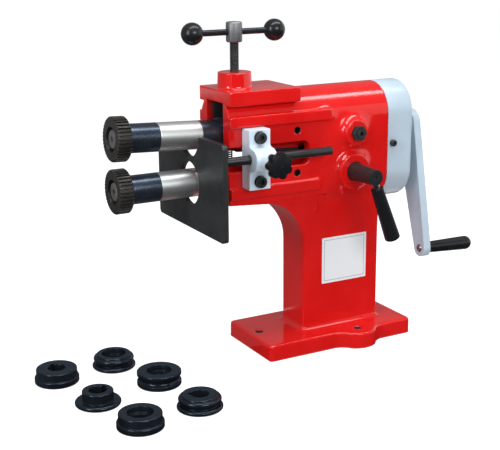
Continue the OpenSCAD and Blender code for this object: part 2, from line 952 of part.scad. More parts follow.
module return_spring() {
    last = round(spring_turns * spring_rings);
    points = [for (i = [0 : last]) each spring_ring(i)];
    walls = [
        for (i = [0 : last - 1], k = [0 : spring_sides - 1])
            let (a = i * spring_sides, n = (k + 1) % spring_sides)
            each [[a + k, a + n, a + spring_sides + k], [a + n, a + spring_sides + n, a + spring_sides + k]]
    ];
    cap = [for (k = [1 : spring_sides - 2]) [0, k + 1, k]];
    end = last * spring_sides;
    end_cap = [for (k = [1 : spring_sides - 2]) [end, end + k, end + k + 1]];
    half_curl = spring_rings / 2;
    between_curls = [
        for (i = [0 : last - half_curl], j = [i + half_curl : last])
            norm(spring_point(i) - spring_point(j))
    ];
    gap_to_self = min(between_curls) - spring_wire;
    echo(spring_gap_to_itself = gap_to_self);
    color(ground_steel)
        translate([spring_x, 0, spring_base])
            polyhedron(points, concat(walls, cap, end_cap));
}

// Bearings

module bearing_bores(x0, x1) {
    bar_x(journal_d + journal_relief, x0 - over, x1 + over);
    bar_x(bush_d + 2 * seat_fit, x0 - over, x0 + bush_l);
    bar_x(bush_d + 2 * seat_fit, x1 - bush_l, x1 + over);
}

// Flanged bush whose flange is at its front end
module bush(x0) {
    flange_d = quill_d - 2 * bush_rim;
    difference() {
        union() {
            bar_x(bush_d, x0, x0 + bush_l);
            bar_x(flange_d, x0 - bush_flange, x0);
        }
        bar_x(journal_d + 2 * running_fit, x0 - bush_flange - over, x0 + bush_l + over);
    }
}

module rear_bush() {
    translate([bearing_x + bearing_end, 0, 0])
        mirror([1, 0, 0])
            bush(bearing_x);
}

module keel(x0, x1, w, depth) {
    h = arm_d / 2 + depth;
    translate([x0, -w / 2, -h])
        cube([x1 - x0, w, h]);
}

module bearing_arm() {
    color(cast_red)
        on_upper_axis()
            difference() {
                union() {
                    bar_x(arm_d, bearing_x, bearing_end);
                    translate([pivot_x + press_s, 0, 0])
                        cylinder(d = pad_d, h = pressure_pad_h);
                    keel(spring_x + pocket_d / 2 + keel_inset, keel_x, nose_keel_w, nose_keel_depth);
                    keel(keel_x, slot_end - keel_inset, keel_w, keel_depth);
                }
                bearing_bores(bearing_x, bearing_end);
                translate([pivot_x, 0, 0])
                    both_sides()
                        bar_y(pivot_screw_d + 2 * running_fit, -arm_d, -arm_d / 2 + pivot_hold + side_gap);
                translate([pivot_x + spring_s, 0, -arm_d])
                    cylinder(d = pocket_d, h = arm_d / 2 + spring_pocket);
            }
}

module arm_front_bush() {
    color(bronze)
        on_upper_axis()
            bush(bearing_x);
}

module arm_rear_bush() {
    color(bronze)
        on_upper_axis()
            rear_bush();
}

module lower_quill() {
    slot_w = ecc_pin_d + 2 * side_gap;
    color(ground_steel)
        on_lower_axis()
            difference() {
                bar_x(quill_d, bearing_x, bearing_end);
                bearing_bores(bearing_x, bearing_end);
                translate([lever_x - slot_w / 2, -quill_d, ecc_throw - ecc_pin_d])
                    cube([slot_w, quill_d - journal_d / 2, 2 * ecc_pin_d]);
            }
}

module quill_front_bush() {
    color(bronze)
        on_lower_axis()
            bush(bearing_x);
}

module quill_rear_bush() {
    color(bronze)
        on_lower_axis()
            rear_bush();
}

// Spindle pieces, drawn on an axis along X

// Key on top of a shaft of diameter d
module key(d, x0, x1) {
    translate([x0, -key_w / 2, d / 2 - key_depth])
        cube([x1 - x0, key_w, key_h]);
}

// Room for that key in the piece that turns with the shaft
module keyway(d, x0, x1) {
    slack = key_w / 2 + seat_fit;
    translate([x0, -slack, 0])
        cube([x1 - x0, 2 * slack, d / 2 - key_depth + key_h + key_slack]);
}

module roll_key() {
    key(spigot_d, recess_x + keyed_inset, collar_x - keyed_inset);
}

module gear_key() {
    key(gear_seat_d, gear_front + keyed_inset, gear_rear - keyed_inset);
}

// Pocket for that key in the shaft itself
module key_pocket(d, x0, x1) {
    translate([x0 - seat_fit, -key_w / 2 - seat_fit, d / 2 - key_depth])
        cube([x1 - x0 + 2 * seat_fit, key_w + 2 * seat_fit, key_h]);
}

// Shaft up to the gear's retaining ring, with its key pockets and tapped front end
module shaft(tail_x) {
    difference() {
        union() {
            bar_x(spigot_d, spigot_x, nose_x);
            bar_x(sleeve_d, nose_x, shoulder_x);
            bar_x(journal_d, shoulder_x, hub_x);
            bar_x(gear_seat_d, hub_x, gear_rear + ring_t);
            bar_x(tail_d, gear_rear, tail_x);
        }
        key_pocket(spigot_d, recess_x + keyed_inset, collar_x - keyed_inset);
        key_pocket(gear_seat_d, gear_front + keyed_inset, gear_rear - keyed_inset);
        bar_x(end_screw_d + 2 * seat_fit, spigot_x - over, spigot_x + end_tap);
    }
}

// Ring on a shaft, with its outer edges broken
module ring_x(d, bore, x0, x1) {
    lathe_x(x0)
        difference() {
            band(d / 2, 0, x1 - x0, fine_chamfer);
            translate([-over, -over])
                square([bore / 2 + over, x1 - x0 + 2 * over]);
        }
}

module spacer_collar() {
    ring_x(sleeve_d, roll_bore, collar_x, sleeve_x);
}

module ground_sleeve() {
    ring_x(sleeve_d, roll_bore, sleeve_x, nose_x);
}

// Outline of a toothed roller: each tooth has a flat top and sloping flanks
module tooth_outline() {
    tip = roll_d / 2;
    root = tip - tooth_h;
    foot = 0.36; // half width of a tooth at its root and tip, in shares of the pitch
    land = 0.2;
    corners = [[-foot, root], [-land, tip], [land, tip], [foot, root]];
    polygon([
        for (i = [0 : roll_teeth - 1], c = corners)
            let (a = (i + c[0]) * 360 / roll_teeth)
            c[1] * [cos(a), sin(a)]
    ]);
}

module toothed_roller() {
    bevel = 2;
    difference() {
        intersection() {
            section_x(roll_x, collar_x)
                tooth_outline();
            lathe_x(roll_x)
                band(roll_d / 2 + chamfer, 0, roll_w, bevel);
        }
        bar_x(recess_d, roll_x - over, recess_x);
        bar_x(roll_bore, roll_x, collar_x + over);
        keyway(spigot_d, recess_x - over, collar_x + over);
    }
}

module roller_washer() {
    ring_x(recess_d - 2 * washer_slack, end_screw_d + washer_slack, recess_x - end_washer_t, recess_x);
}

module roller_screw() {
    seat = recess_x - end_washer_t;
    face = seat - end_head_h;
    difference() {
        union() {
            lathe_x(face)
                band(end_head_d / 2, 0, end_head_h);
            bar_x(end_screw_d, seat - over, seat + end_hold);
        }
        translate([face - over, 0, 0])
            rotate([0, 90, 0])
                cylinder(d = socket_w(end_screw_d), h = end_head_h, $fn = 6);
    }
}

// Involute gear, a tooth on the +x axis of its outline
gear_m = (gear_cd - gear_slack) / gear_teeth;
pressure_angle = 20;
dedendum = 1.25; // depth of a tooth below the pitch circle, in modules
function polar(r, a) = r * [cos(a), sin(a)];

module gear_outline() {
    pitch_r = gear_m * gear_teeth / 2;
    base_r = pitch_r * cos(pressure_angle);
    tip_r = pitch_r + gear_m;
    root_r = pitch_r - dedendum * gear_m;
    steps = 5;
    turn = 180 / PI;
    last = sqrt(tip_r * tip_r / (base_r * base_r) - 1);
    flank = [
        for (k = [0 : steps])
            let (t = last * k / steps)
            [base_r * sqrt(1 + t * t), t * turn - atan(t)]
    ];
    thin = gear_backlash / 2 / pitch_r * turn;
    half = 90 / gear_teeth + tan(pressure_angle) * turn - pressure_angle - thin;
    polygon([
        for (i = [0 : gear_teeth - 1])
            let (mid = 360 * i / gear_teeth)
            each concat(
                [polar(root_r, mid - half)],
                [for (p = flank) polar(p[0], mid - half + p[1])],
                [for (k = [steps : -1 : 0]) polar(flank[k][0], mid + half - flank[k][1])],
                [polar(root_r, mid + half)]
            )
    ]);
}

module gear(turn) {
    difference() {
        union() {
            section_x(gear_front, gear_rear)
                rotate(turn)
                    gear_outline();
            bar_x(hub_out_d, hub_x, gear_front + over);
        }
        bar_x(gear_bore, hub_x - over, gear_rear + over);
        keyway(gear_seat_d, gear_front, gear_rear + over);
    }
}

module gear_ring() {
    ring_x(gear_bore + 2 * ring_rim, gear_bore, gear_rear, gear_rear + ring_t);
}

// Upper spindle

crank_hub_x = cover_rear + crank_stand;

module upper_shaft() {
    color(oxide_black)
        on_upper_axis()
            difference() {
                union() {
                    shaft(crank_hub_x);
                    bar_x(crank_bore - 2 * seat_fit, crank_hub_x - over, crank_back - side_gap);
                }
                key_pocket(crank_bore - 2 * seat_fit, crank_x + keyed_inset, crank_back - keyed_inset);
                bar_x(end_screw_d + 2 * seat_fit, crank_back - end_tap, crank_back + over);
            }
}

module upper_spacer_collar() {
    color(oxide_black)
        on_upper_axis()
            spacer_collar();
}

module upper_ground_sleeve() {
    color(ground_steel)
        on_upper_axis()
            ground_sleeve();
}

module upper_roller() {
    color(oxide_black)
        on_upper_axis()
            toothed_roller();
}

module upper_roller_washer() {
    color(oxide_black)
        on_upper_axis()
            roller_washer();
}

module upper_roller_screw() {
    color(oxide_black)
        on_upper_axis()
            roller_screw();
}

module upper_keys() {
    color(ground_steel)
        on_upper_axis() {
            roll_key();
            gear_key();
            key(crank_bore - 2 * seat_fit, crank_x + keyed_inset, crank_back - keyed_inset);
        }
}

module upper_gear() {
    color(ground_steel)
        on_upper_axis()
            gear(90);
}

module upper_gear_ring() {
    color(ground_steel)
        on_upper_axis()
            gear_ring();
}

// Crank

// Place of the grip pin on the upper axis
module at_grip() {
    translate([0, -crank_r * sin(crank_swing), -crank_r * cos(crank_swing)])
        children();
}

// Two round ends and the straight tangents between them
module crank_outline() {
    hub_r = crank_hub_d / 2;
    end_r = crank_end_d / 2;
    s = (hub_r - end_r) / crank_r;
    c = sqrt(1 - s * s);
    circle(hub_r);
    translate([0, -crank_r])
        circle(end_r);
    polygon([
        [hub_r * c, -hub_r * s], [end_r * c, -crank_r - end_r * s],
        [-end_r * c, -crank_r - end_r * s], [-hub_r * c, -hub_r * s]
    ]);
}

module crank_arm() {
    color(pale_grey)
        on_upper_axis()
            difference() {
                union() {
                    section_x(crank_x, crank_back)
                        rotate(-crank_swing)
                            crank_outline();
                    bar_x(crank_bore + 2 * crank_boss_wall, crank_hub_x, crank_x + over);
                }
                bar_x(crank_bore, crank_hub_x - over, crank_back + over);
                keyway(crank_bore - 2 * seat_fit, crank_x, crank_back + over);
                at_grip()
                    bar_x(pin_d + 2 * seat_fit, crank_x - over, crank_back + over);
            }
}

module crank_washer() {
    color(oxide_black)
        on_upper_axis()
            ring_x(crank_bore + 2 * crank_washer_rim, end_screw_d + washer_slack,
                   crank_back, crank_back + end_washer_t);
}

module crank_screw() {
    color(oxide_black)
        on_upper_axis()
            translate([crank_back + end_washer_t, 0, 0])
                rotate([0, 90, 0])
                    socket_screw(end_screw_d, end_hold);
}

module grip_pin() {
    rivet_r = 8;
    rivet_t = 1.8;
    color(ground_steel)
        on_upper_axis()
            at_grip() {
                bar_x(pin_d, crank_x - rivet_t / 2, crank_back + grip_l - grip_d);
                lathe_x(crank_x - rivet_t)
                    intersection() {
                        square([rivet_r, rivet_t]);
                        translate([0, rivet_r])
                            circle(rivet_r);
                    }
            }
}

module crank_grip() {
    neck_r = grip_neck_d / 2;
    end_r = grip_d / 2;
    straight = grip_l - end_r;
    color(gloss_black)
        on_upper_axis()
            at_grip()
                lathe_x(crank_back + side_gap)
                    difference() {
                        union() {
                            polygon([[0, 0], [neck_r, 0], [end_r, straight], [0, straight]]);
                            intersection() {
                                translate([0, straight])
                                    circle(end_r);
                                square([end_r, grip_l]);
                            }
                        }
                        square([pin_d / 2 + running_fit, grip_l - grip_d + side_gap]);
                    }
}

// Press screw

module press_shoe() {
    color(ground_steel)
        translate([press_x, 0, shoe_z])
            difference() {
                intersection() {
                    cylinder(d = shoe_d, h = shoe_h);
                    translate([0, 0, shoe_dome_r])
                        sphere(shoe_dome_r);
                }
                translate([0, 0, shoe_h - screw_nose_l - side_gap])
                    cylinder(d = screw_nose_d + 2 * running_fit, h = shoe_h);
            }
}

module press_screw() {
    color(oxide_black)
        translate([press_x, 0, screw_z]) {
            cylinder(d = screw_d, h = screw_top - screw_z);
            translate([0, 0, -screw_nose_l])
                cylinder(d = screw_nose_d, h = screw_nose_l + over);
        }
}

module screw_hub() {
    color(oxide_black)
        translate([press_x, 0, hub_z])
            difference() {
                rotate_extrude()
                    band(hub_d / 2, 0, hub_h, hub_chamfer);
                translate([0, 0, -over])
                    cylinder(d = screw_d + 2 * seat_fit, h = screw_top - hub_z + over);
                translate([0, 0, bar_z - hub_z])
                    bar_x(bar_d + 2 * seat_fit, -hub_d, hub_d);
            }
}

ball_grip = 0.4 * ball_d; // how far the tommy bar reaches into a ball
bar_half = bar_span / 2 - ball_d / 2 + ball_grip;

module tommy_bar() {
    color(oxide_black)
        translate([press_x, 0, bar_z])
            bar_x(bar_d, -bar_half, bar_half);
}

module ball_knobs() {
    color(gloss_black)
        translate([press_x, 0, bar_z])
            for (s = [0, 180])
                rotate([0, 0, s])
                    difference() {
                        translate([bar_span / 2, 0, 0])
                            sphere(d = ball_d);
                        bar_x(bar_d + 2 * seat_fit, 0, bar_half);
                    }
}

// Lower spindle

module lower_shaft() {
    color(oxide_black)
        on_lower_axis()
            shaft(gear_rear + 2 * ring_t);
}

module lower_spacer_collar() {
    color(oxide_black)
        on_lower_axis()
            spacer_collar();
}

module lower_ground_sleeve() {
    color(ground_steel)
        on_lower_axis()
            ground_sleeve();
}

module lower_roller() {
    color(oxide_black)
        on_lower_axis()
            toothed_roller();
}

module lower_roller_washer() {
    color(oxide_black)
        on_lower_axis()
            roller_washer();
}

module lower_roller_screw() {
    color(oxide_black)
        on_lower_axis()
            roller_screw();
}

module lower_keys() {
    color(ground_steel)
        on_lower_axis() {
            roll_key();
            gear_key();
        }
}

module lower_gear() {
    color(ground_steel)
        on_lower_axis()
            gear(0);
}

module lower_gear_ring() {
    color(ground_steel)
        on_lower_axis()
            gear_ring();
}

// Lever

lever_start = ecc_tip_d / 2 + lever_bare;
lever_hold = 0.6 * lever_grip_l; // how far the rod reaches into the grip
lever_seat = 1; // distance of the rod's inner end from the shaft's axis
quill_clear = 2; // distance of the eccentric shaft's inner end from the quill
pin_clear = 0.7; // distance of the eccentric pin's tip from the shaft in the quill

// Frame of the lever: its rod points along +Z
module along_lever() {
    translate([lever_x, lever_y, lower_z])
        rotate([0, 180 - lever_angle, 0])
            children();
}

module eccentric_shaft() {
    inner = -quill_d / 2 - quill_clear;
    pin_tip = -(journal_d + journal_relief) / 2 - pin_clear;
    centre_d = 3.5;
    centre_h = 4;
    color(oxide_black)
        difference() {
            translate([lever_x, 0, lower_z])
                difference() {
                    union() {
                        bar_y(ecc_d, lever_face, inner);
                        cone_y(ecc_tip_d, ecc_d, ecc_end, lever_face);
                        translate([0, 0, ecc_throw])
                            bar_y(ecc_pin_d, inner - over, pin_tip);
                    }
                    bar_y(centre_d, ecc_end - over, ecc_end + centre_h);
                }
            along_lever()
                translate([0, 0, lever_seat])
                    cylinder(d = lever_rod_d + 2 * seat_fit, h = ecc_d);
        }
}

module lever_rod() {
    color(ground_steel)
        along_lever()
            translate([0, 0, lever_seat])
                cylinder(d = lever_rod_d, h = lever_start + lever_hold - lever_seat);
}

module lever_grip() {
    neck_r = lever_neck_d / 2;
    tip_r = lever_grip_d / 2;
    soft = 2;
    color(gloss_black)
        along_lever()
            translate([0, 0, lever_start])
                rotate_extrude()
                    difference() {
                        union() {
                            polygon([[0, 0], [neck_r - chamfer, 0], [neck_r, chamfer],
                                     [tip_r, lever_grip_l - soft], [0, lever_grip_l - soft]]);
                            square([tip_r - soft, lever_grip_l]);
                            translate([tip_r - soft, lever_grip_l - soft])
                                circle(soft);
                        }
                        square([lever_rod_d / 2 + seat_fit, lever_hold]);
                    }
}

// Fence and guide

spigot_rod_d = 0.63 * rod_d; // end of the rod that is riveted into the plate

module at_rod() {
    translate([0, rod_y, rod_z])
        children();
}

module fence_plate() {
    notch_z = lower_z + fence_hole_d + fence_web;
    color(oxide_black)
        difference() {
            section_x(fence_x - fence_t, fence_x)
                difference() {
                    translate([0, lower_z - fence_drop + fence_h / 2])
                        round_rect(fence_w, fence_h, fence_corner);
                    translate([0, notch_z])
                        circle(d = fence_hole_d);
                    translate([-fence_hole_d / 2, notch_z])
                        square([fence_hole_d, fence_h]);
                }
            on_lower_axis()
                bar_x(fence_hole_d, fence_x - fence_t - over, fence_x + over);
            at_rod()
                bar_x(spigot_rod_d + 2 * seat_fit, fence_x - fence_t - over, fence_x + over);
        }
}

module guide_rod() {
    color(oxide_black)
        at_rod() {
            bar_x(rod_d, fence_x, fence_x + rod_l);
            bar_x(spigot_rod_d, fence_x - fence_t, fence_x + over);
        }
}

bracket_sink = 2.5; // depth of the counterbores for the bracket's screws
bracket_seat = -(pad_y + bracket_ear - bracket_sink);
bracket_head_d = head_d(bracket_screw_d);
knob_neck_l = 5; // length of the star knob's neck
knob_gap = 1.5; // stud that shows between boss and knob
knob_face = hump_y - knob_stand;
stud_boss_y = knob_face + knob_gap;

// Two ears and a round middle that hollow curves lead into
module bracket_section() {
    h = pad_h - 2 * side_gap;
    face = -(pad_y + bracket_ear);
    down = hump_mid - face + hump_fillet;
    reach = hump_r + hump_fillet;
    along = sqrt(reach * reach - down * down);
    translate([face, guide_z - h / 2])
        square([bracket_ear, h]);
    translate([hump_mid, rod_z])
        circle(hump_r);
    difference() {
        translate([hump_mid - hump_r * down / reach, rod_z - along])
            square([hump_r, 2 * along]);
        for (s = [-1, 1])
            translate([face - hump_fillet + dip, rod_z + s * along])
                circle(hump_fillet);
    }
}

module guide_bracket() {
    color(pale_grey)
        difference() {
            union() {
                section_x(bracket_x - bracket_l / 2, bracket_x + bracket_l / 2)
                    bracket_section();
                translate([bracket_x, 0, rod_z])
                    bar_y(stud_boss_d, stud_boss_y, hump_mid);
            }
            at_rod()
                bar_x(rod_d + 2 * running_fit, bracket_x - bracket_l, bracket_x + bracket_l);
            translate([bracket_x, 0, rod_z])
                bar_y(stud_d + 2 * running_fit, stud_boss_y - over, rod_y);
            for (s = [-1, 1])
                translate([bracket_x, 0, guide_z + s * bracket_span / 2]) {
                    bar_y(bracket_screw_d + 2 * seat_fit, bracket_seat - over, -pad_y + over);
                    bar_y(bracket_head_d + 2 * washer_slack, bracket_seat - hump_r, bracket_seat);
                }
        }
}

module bracket_screws() {
    shank = bracket_ear - bracket_sink + tap_depth - tap_spare;
    color(oxide_black)
        for (s = [-1, 1])
            translate([bracket_x, bracket_seat, guide_z + s * bracket_span / 2])
                rotate([90, 0, 0])
                    socket_screw(bracket_screw_d, shank);
}

knob_lobe_r = 0.14 * knob_d;
knob_core_r = 0.4 * knob_d;
stud_hold = knob_neck_l + knob_t / 2; // how far the stud reaches into the knob

module knob_outline() {
    circle(knob_core_r);
    for (i = [1 : knob_lobes])
        rotate(360 * (i - 0.5) / knob_lobes)
            translate([knob_d / 2 - knob_lobe_r, 0])
                circle(knob_lobe_r);
}

module clamp_knob() {
    dome_r = 1.6 * knob_d;
    color(gloss_black)
        translate([bracket_x, knob_face, rod_z])
            rotate([90, 0, 0])
                difference() {
                    union() {
                        cylinder(d1 = 0.5 * knob_d, d2 = 0.6 * knob_d, h = knob_neck_l + over);
                        translate([0, 0, knob_neck_l])
                            intersection() {
                                linear_extrude(knob_t)
                                    knob_outline();
                                translate([0, 0, knob_t - dome_r])
                                    sphere(dome_r);
                            }
                    }
                    translate([0, 0, -over])
                        cylinder(d = stud_d + 2 * seat_fit, h = stud_hold + over);
                }
}

module clamp_stud() {
    color(oxide_black)
        translate([bracket_x, 0, rod_z])
            bar_y(stud_d, knob_face - stud_hold, rod_y - rod_d / 2 - side_gap);
}

// Spare rollers, each lying on the bench

// Plain bore with a keyway, as on a roller's mounting side
module keyed_bore() {
    translate([0, 0, -over]) {
        cylinder(d = roll_bore, h = spare_h + 2 * over);
        translate([0, -key_w / 2, 0])
            cube([roll_bore / 2 + key_h - key_depth + key_slack, key_w, spare_h + 2 * over]);
    }
}

// Bore with a recess for the washer and screw, as on a roller's outer side
module recessed_bore(bore) {
    translate([0, 0, -over])
        cylinder(d = bore, h = spare_h + 2 * over);
    translate([0, 0, spare_h - recess_h])
        cylinder(d = recess_d, h = recess_h + over);
}

spare_rim_h = 7.2; // height of a step roller's rim
spare_step = 2;
bead_rim_h = 5.2;
bead_r = 3.4;
bead_drop = 5.4; // distance of the bead's middle below the roller's face
bead_core = 20;
groove_drop = 8;
flange_rim_r = 2.8;
flange_hub_d = 34;
step_key_turn = 100; // directions of the keyways
bead_key_turn = 150;
flange_key_turn = 30;

module step_body() {
    rotate_extrude() {
        band(roll_d / 2, 0, spare_rim_h);
        band(roll_d / 2 - spare_step, 0, spare_h);
    }
}

module bead_body() {
    rotate_extrude() {
        band(roll_d / 2, 0, bead_rim_h, 2 * chamfer);
        band(bead_core, 0, spare_h);
        translate([bead_core, spare_h - bead_drop])
            circle(bead_r);
    }
}

module groove_body() {
    rotate_extrude()
        difference() {
            band(roll_d / 2, 0, spare_h);
            translate([roll_d / 2, spare_h - groove_drop])
                circle(bead_r);
        }
}

module flange_body() {
    rotate_extrude() {
        square([roll_d / 2 - flange_rim_r, 2 * flange_rim_r]);
        translate([roll_d / 2 - flange_rim_r, flange_rim_r])
            circle(flange_rim_r);
        band(flange_hub_d / 2, 0, spare_h);
    }
}

module lie_at(at) {
    translate([at[0] - spare_reach, at[1], 0])
        children();
}

module spare_step_roller_keyed() {
    color(oxide_black)
        lie_at(step_keyed_at)
            difference() {
                step_body();
                rotate([0, 0, step_key_turn])
                    keyed_bore();
            }
}

module spare_step_roller_open() {
    color(oxide_black)
        lie_at(step_open_at)
            difference() {
                step_body();
                recessed_bore(roll_bore);
            }
}

module spare_bead_roller_open() {
    color(oxide_black)
        lie_at(bead_open_at)
            difference() {
                bead_body();
                recessed_bore(roll_bore);
            }
}

module spare_bead_roller_keyed() {
    color(oxide_black)
        lie_at(bead_keyed_at)
            difference() {
                bead_body();
                rotate([0, 0, bead_key_turn])
                    keyed_bore();
            }
}

module spare_groove_roller() {
    floor_t = 3;
    color(oxide_black)
        lie_at(groove_at)
            difference() {
                groove_body();
                recessed_bore(end_screw_d + washer_slack);
                translate([0, 0, -over])
                    cylinder(d = roll_bore, h = spare_h - recess_h - floor_t + over);
            }
}

module spare_flange_roller() {
    color(oxide_black)
        lie_at(flange_at)
            difference() {
                flange_body();
                rotate([0, 0, flange_key_turn])
                    keyed_bore();
            }
}

frame_casting();
gear_cover();
cover_screws();
guide_bracket();
bracket_screws();
pivot_screws();
pivot_locknuts();
return_spring();
spare_step_roller_keyed();
spare_step_roller_open();
spare_bead_roller_open();
spare_bead_roller_keyed();
spare_groove_roller();
spare_flange_roller();
bearing_arm();
arm_front_bush();
arm_rear_bush();
upper_shaft();
upper_spacer_collar();
upper_ground_sleeve();
upper_roller();
upper_roller_washer();
upper_roller_screw();
upper_keys();
upper_gear();
upper_gear_ring();
crank_arm();
crank_washer();
crank_screw();
grip_pin();
crank_grip();
press_shoe();
press_screw();
screw_hub();
tommy_bar();
ball_knobs();
lower_quill();
quill_front_bush();
quill_rear_bush();
lower_shaft();
lower_spacer_collar();
lower_ground_sleeve();
lower_roller();
lower_roller_washer();
lower_roller_screw();
lower_keys();
lower_gear();
lower_gear_ring();
eccentric_shaft();
lever_rod();
lever_grip();
fence_plate();
guide_rod();
clamp_knob();
clamp_stud();
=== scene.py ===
"""Looks of a hand-operated beading machine: an add-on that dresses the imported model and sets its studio."""

import json
import math

import bmesh
import bpy
import numpy as np
from bpy.props import FloatProperty, FloatVectorProperty, IntProperty, PointerProperty
from mathutils import Matrix, Vector

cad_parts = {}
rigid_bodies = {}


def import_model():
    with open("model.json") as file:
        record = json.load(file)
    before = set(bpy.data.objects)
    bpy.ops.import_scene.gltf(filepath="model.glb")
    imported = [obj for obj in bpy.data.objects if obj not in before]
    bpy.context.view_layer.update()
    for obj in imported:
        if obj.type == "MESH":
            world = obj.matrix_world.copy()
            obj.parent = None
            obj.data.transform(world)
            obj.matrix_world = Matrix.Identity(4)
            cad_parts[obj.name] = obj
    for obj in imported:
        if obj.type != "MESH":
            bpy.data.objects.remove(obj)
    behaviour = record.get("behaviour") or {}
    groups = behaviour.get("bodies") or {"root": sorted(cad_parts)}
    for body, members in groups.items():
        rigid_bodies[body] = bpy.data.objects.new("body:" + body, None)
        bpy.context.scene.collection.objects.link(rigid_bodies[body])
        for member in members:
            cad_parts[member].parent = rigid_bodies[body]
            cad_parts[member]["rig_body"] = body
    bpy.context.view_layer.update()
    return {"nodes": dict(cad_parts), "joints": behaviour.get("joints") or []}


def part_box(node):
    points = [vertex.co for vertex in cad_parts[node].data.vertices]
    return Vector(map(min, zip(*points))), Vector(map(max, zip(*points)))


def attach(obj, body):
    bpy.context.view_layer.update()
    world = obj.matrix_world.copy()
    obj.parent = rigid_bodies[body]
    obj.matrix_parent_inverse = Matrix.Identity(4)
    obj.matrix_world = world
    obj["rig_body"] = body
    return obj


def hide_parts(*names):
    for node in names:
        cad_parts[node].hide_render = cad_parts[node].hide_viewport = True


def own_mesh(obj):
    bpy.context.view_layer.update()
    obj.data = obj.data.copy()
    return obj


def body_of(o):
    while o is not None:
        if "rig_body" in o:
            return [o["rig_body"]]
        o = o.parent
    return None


bl_info = {
    "name": "Hand Beading Machine",
    "version": (1, 0, 0),
    "blender": (4, 5, 0),
    "location": "3D View > Sidebar > Beading",
    "description": "Dresses a hand-operated beading machine and sets its studio",
    "category": "Object",
}

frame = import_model()
nodes = frame["nodes"]

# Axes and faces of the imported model, in metres
joints = {joint["name"]: joint for joint in frame["joints"]}
pivot = Vector(joints["arm_tilt"]["pos_m"])
lever_axis = Vector(joints["lever_turn"]["pos_m"])
screw_axis = Vector(joints["press_turn"]["pos_m"])
upper_axis = Vector(joints["crank_spin"]["axis"])
head_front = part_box("frame_casting")[0].x

# Dark, dull places on the red castings, in metres: painted shade in the head's bore, in the tapped and bolt
# holes and under the arm's tube, and the darkened front end of the arm. A pair is plain red at its first
# place and fully dark at its second.
BORE_SIDE = (0.0208, 0.0203)
BORE_MIDDLE = 0.273
BORE_REACH = (0.0335, 0.0330)
BORE_MOUTH = (head_front + 0.001, head_front + 0.012)
BORE_END = (-0.040, -0.044)
TAP_RADIUS, BOLT_RADIUS, HOLE_EDGE = 0.0046, 0.0050, 0.0004
TAPS = ((-0.0542, 0.270), (-0.0542, 0.220), (-0.1142, 0.270), (-0.1142, 0.220))
BASE_BOLTS = ((-0.0875, 0.0), (0.024, 0.0485), (0.024, -0.0485))
BASE_TOP = 0.030
ARM_RADIUS = 0.019
ARM_KEEL = (0.0006, -0.0002)
ARM_NOSE = (head_front + 0.022, head_front + 0.018)

# Zones of the cast stand that are filled or rounded, in metres. A zone fades between the places of a pair.
HOUSING_FRONT, HOUSING_REAR = (-0.032, -0.014), (0.066, 0.069)
HOUSING_SIDE, HOUSING_FOOT = (0.0225, 0.0238), (0.10, 0.13)
LEVER_SEAT, PIVOT_SEAT = (0.0125, 0.015), (0.010, 0.0125)
BOSS_FOOT, BOSS_BORE = (0.316, 0.3185), (0.012, 0.014)
COLUMN_MIDDLE, COLUMN_HALF = 0.014, (0.0545, 0.025)
ROOT_SIDE, ROOT_LOW, ROOT_HIGH = (0.008, 0.012), (0.016, 0.019), (0.034, 0.040)
BOSS_SHARE, ROOT_SHARE = 0.05, 0.14
FOOT_LOW, FOOT_HIGH = (0.002, 0.006), (0.12, 0.16)

# How meshes are worked
SMALLEST_SHARE = 0.001
PASS_SHARE = 0.5
NORMAL_REFRESH = 20
FLAT_WEIGHT = 80
WELD_GAP = 0.00001
EDGE_ANGLE = math.radians(40)
SCREW_SIDES, RINGS_A_PITCH, CREST_SHARE = 48, 10, 0.12
CORNER_STEPS = 5

# Roughness of the darkened places in bore, holes and arm, and of the deepest hollow corners, which are
# painted dark as shade
DARKENED_ROUGHNESS, DEEP_CORNER_ROUGHNESS = 0.7, 0.6

# The studio, in metres
WHITE, BLACK = (1, 1, 1, 1), (0, 0, 0, 1)
LAMP_COLOUR = (0.90, 0.96, 1.0)
CARD_COLOUR = (0.96, 0.98, 1, 1)
SKY_COLOUR = (0.97, 0.98, 1.0, 1)
FLOOR_COLOUR = (0.55, 0.55, 0.55, 1)
FLOOR_GLOW = 0.78
FLAG_LIFT = 0.0012
UP, DOWN = (0, 0, 1), (0, 0, -1)
SENSOR_WIDTH = 36.0
CLIP_START = 0.05
MACHINE_MIDDLE = (-0.02, 0.0, 0.22)

# Lamps: name and setting of the power, place, point that is lit, width and height
LAMPS = (
    ("top", (0.10, -0.27, 1.55), (0.10, 0.0, 0.2), (1.9, 0.28)),
    ("front", (-0.10, -1.6, 0.9), MACHINE_MIDDLE, (0.9, 0.5)),
    ("side", (-1.5, -0.5, 0.8), MACHINE_MIDDLE, (0.4, 0.8)),
)
# Cards: name, middle, side that they face, width and height, tone
CARDS = (
    ("front_flag", (0.0, -1.35, FLAG_LIFT), UP, (5.0, 2.7), 0.02),
    ("left_flag", (-1.10, 1.00, FLAG_LIFT), UP, (2.0, 2.0), 0.14),
    ("rear_flag", (0.45, 0.80, FLAG_LIFT), UP, (1.1, 1.4), 0.12),
    ("camera_wall", (-0.6, -2.8, 1.2), (0, 1, 0), (5.0, 2.4), 0.03),
    ("back_wall", (0.0, 2.4, 1.25), (0, -1, 0), (7.0, 2.5), 0.26),
    ("left_wall", (-2.6, 0.6, 1.25), (1, 0, 0), (5.0, 2.5), 0.25),
    ("ceiling", (0.0, 0.0, 2.6), DOWN, (7.0, 7.0), 0.30),
)


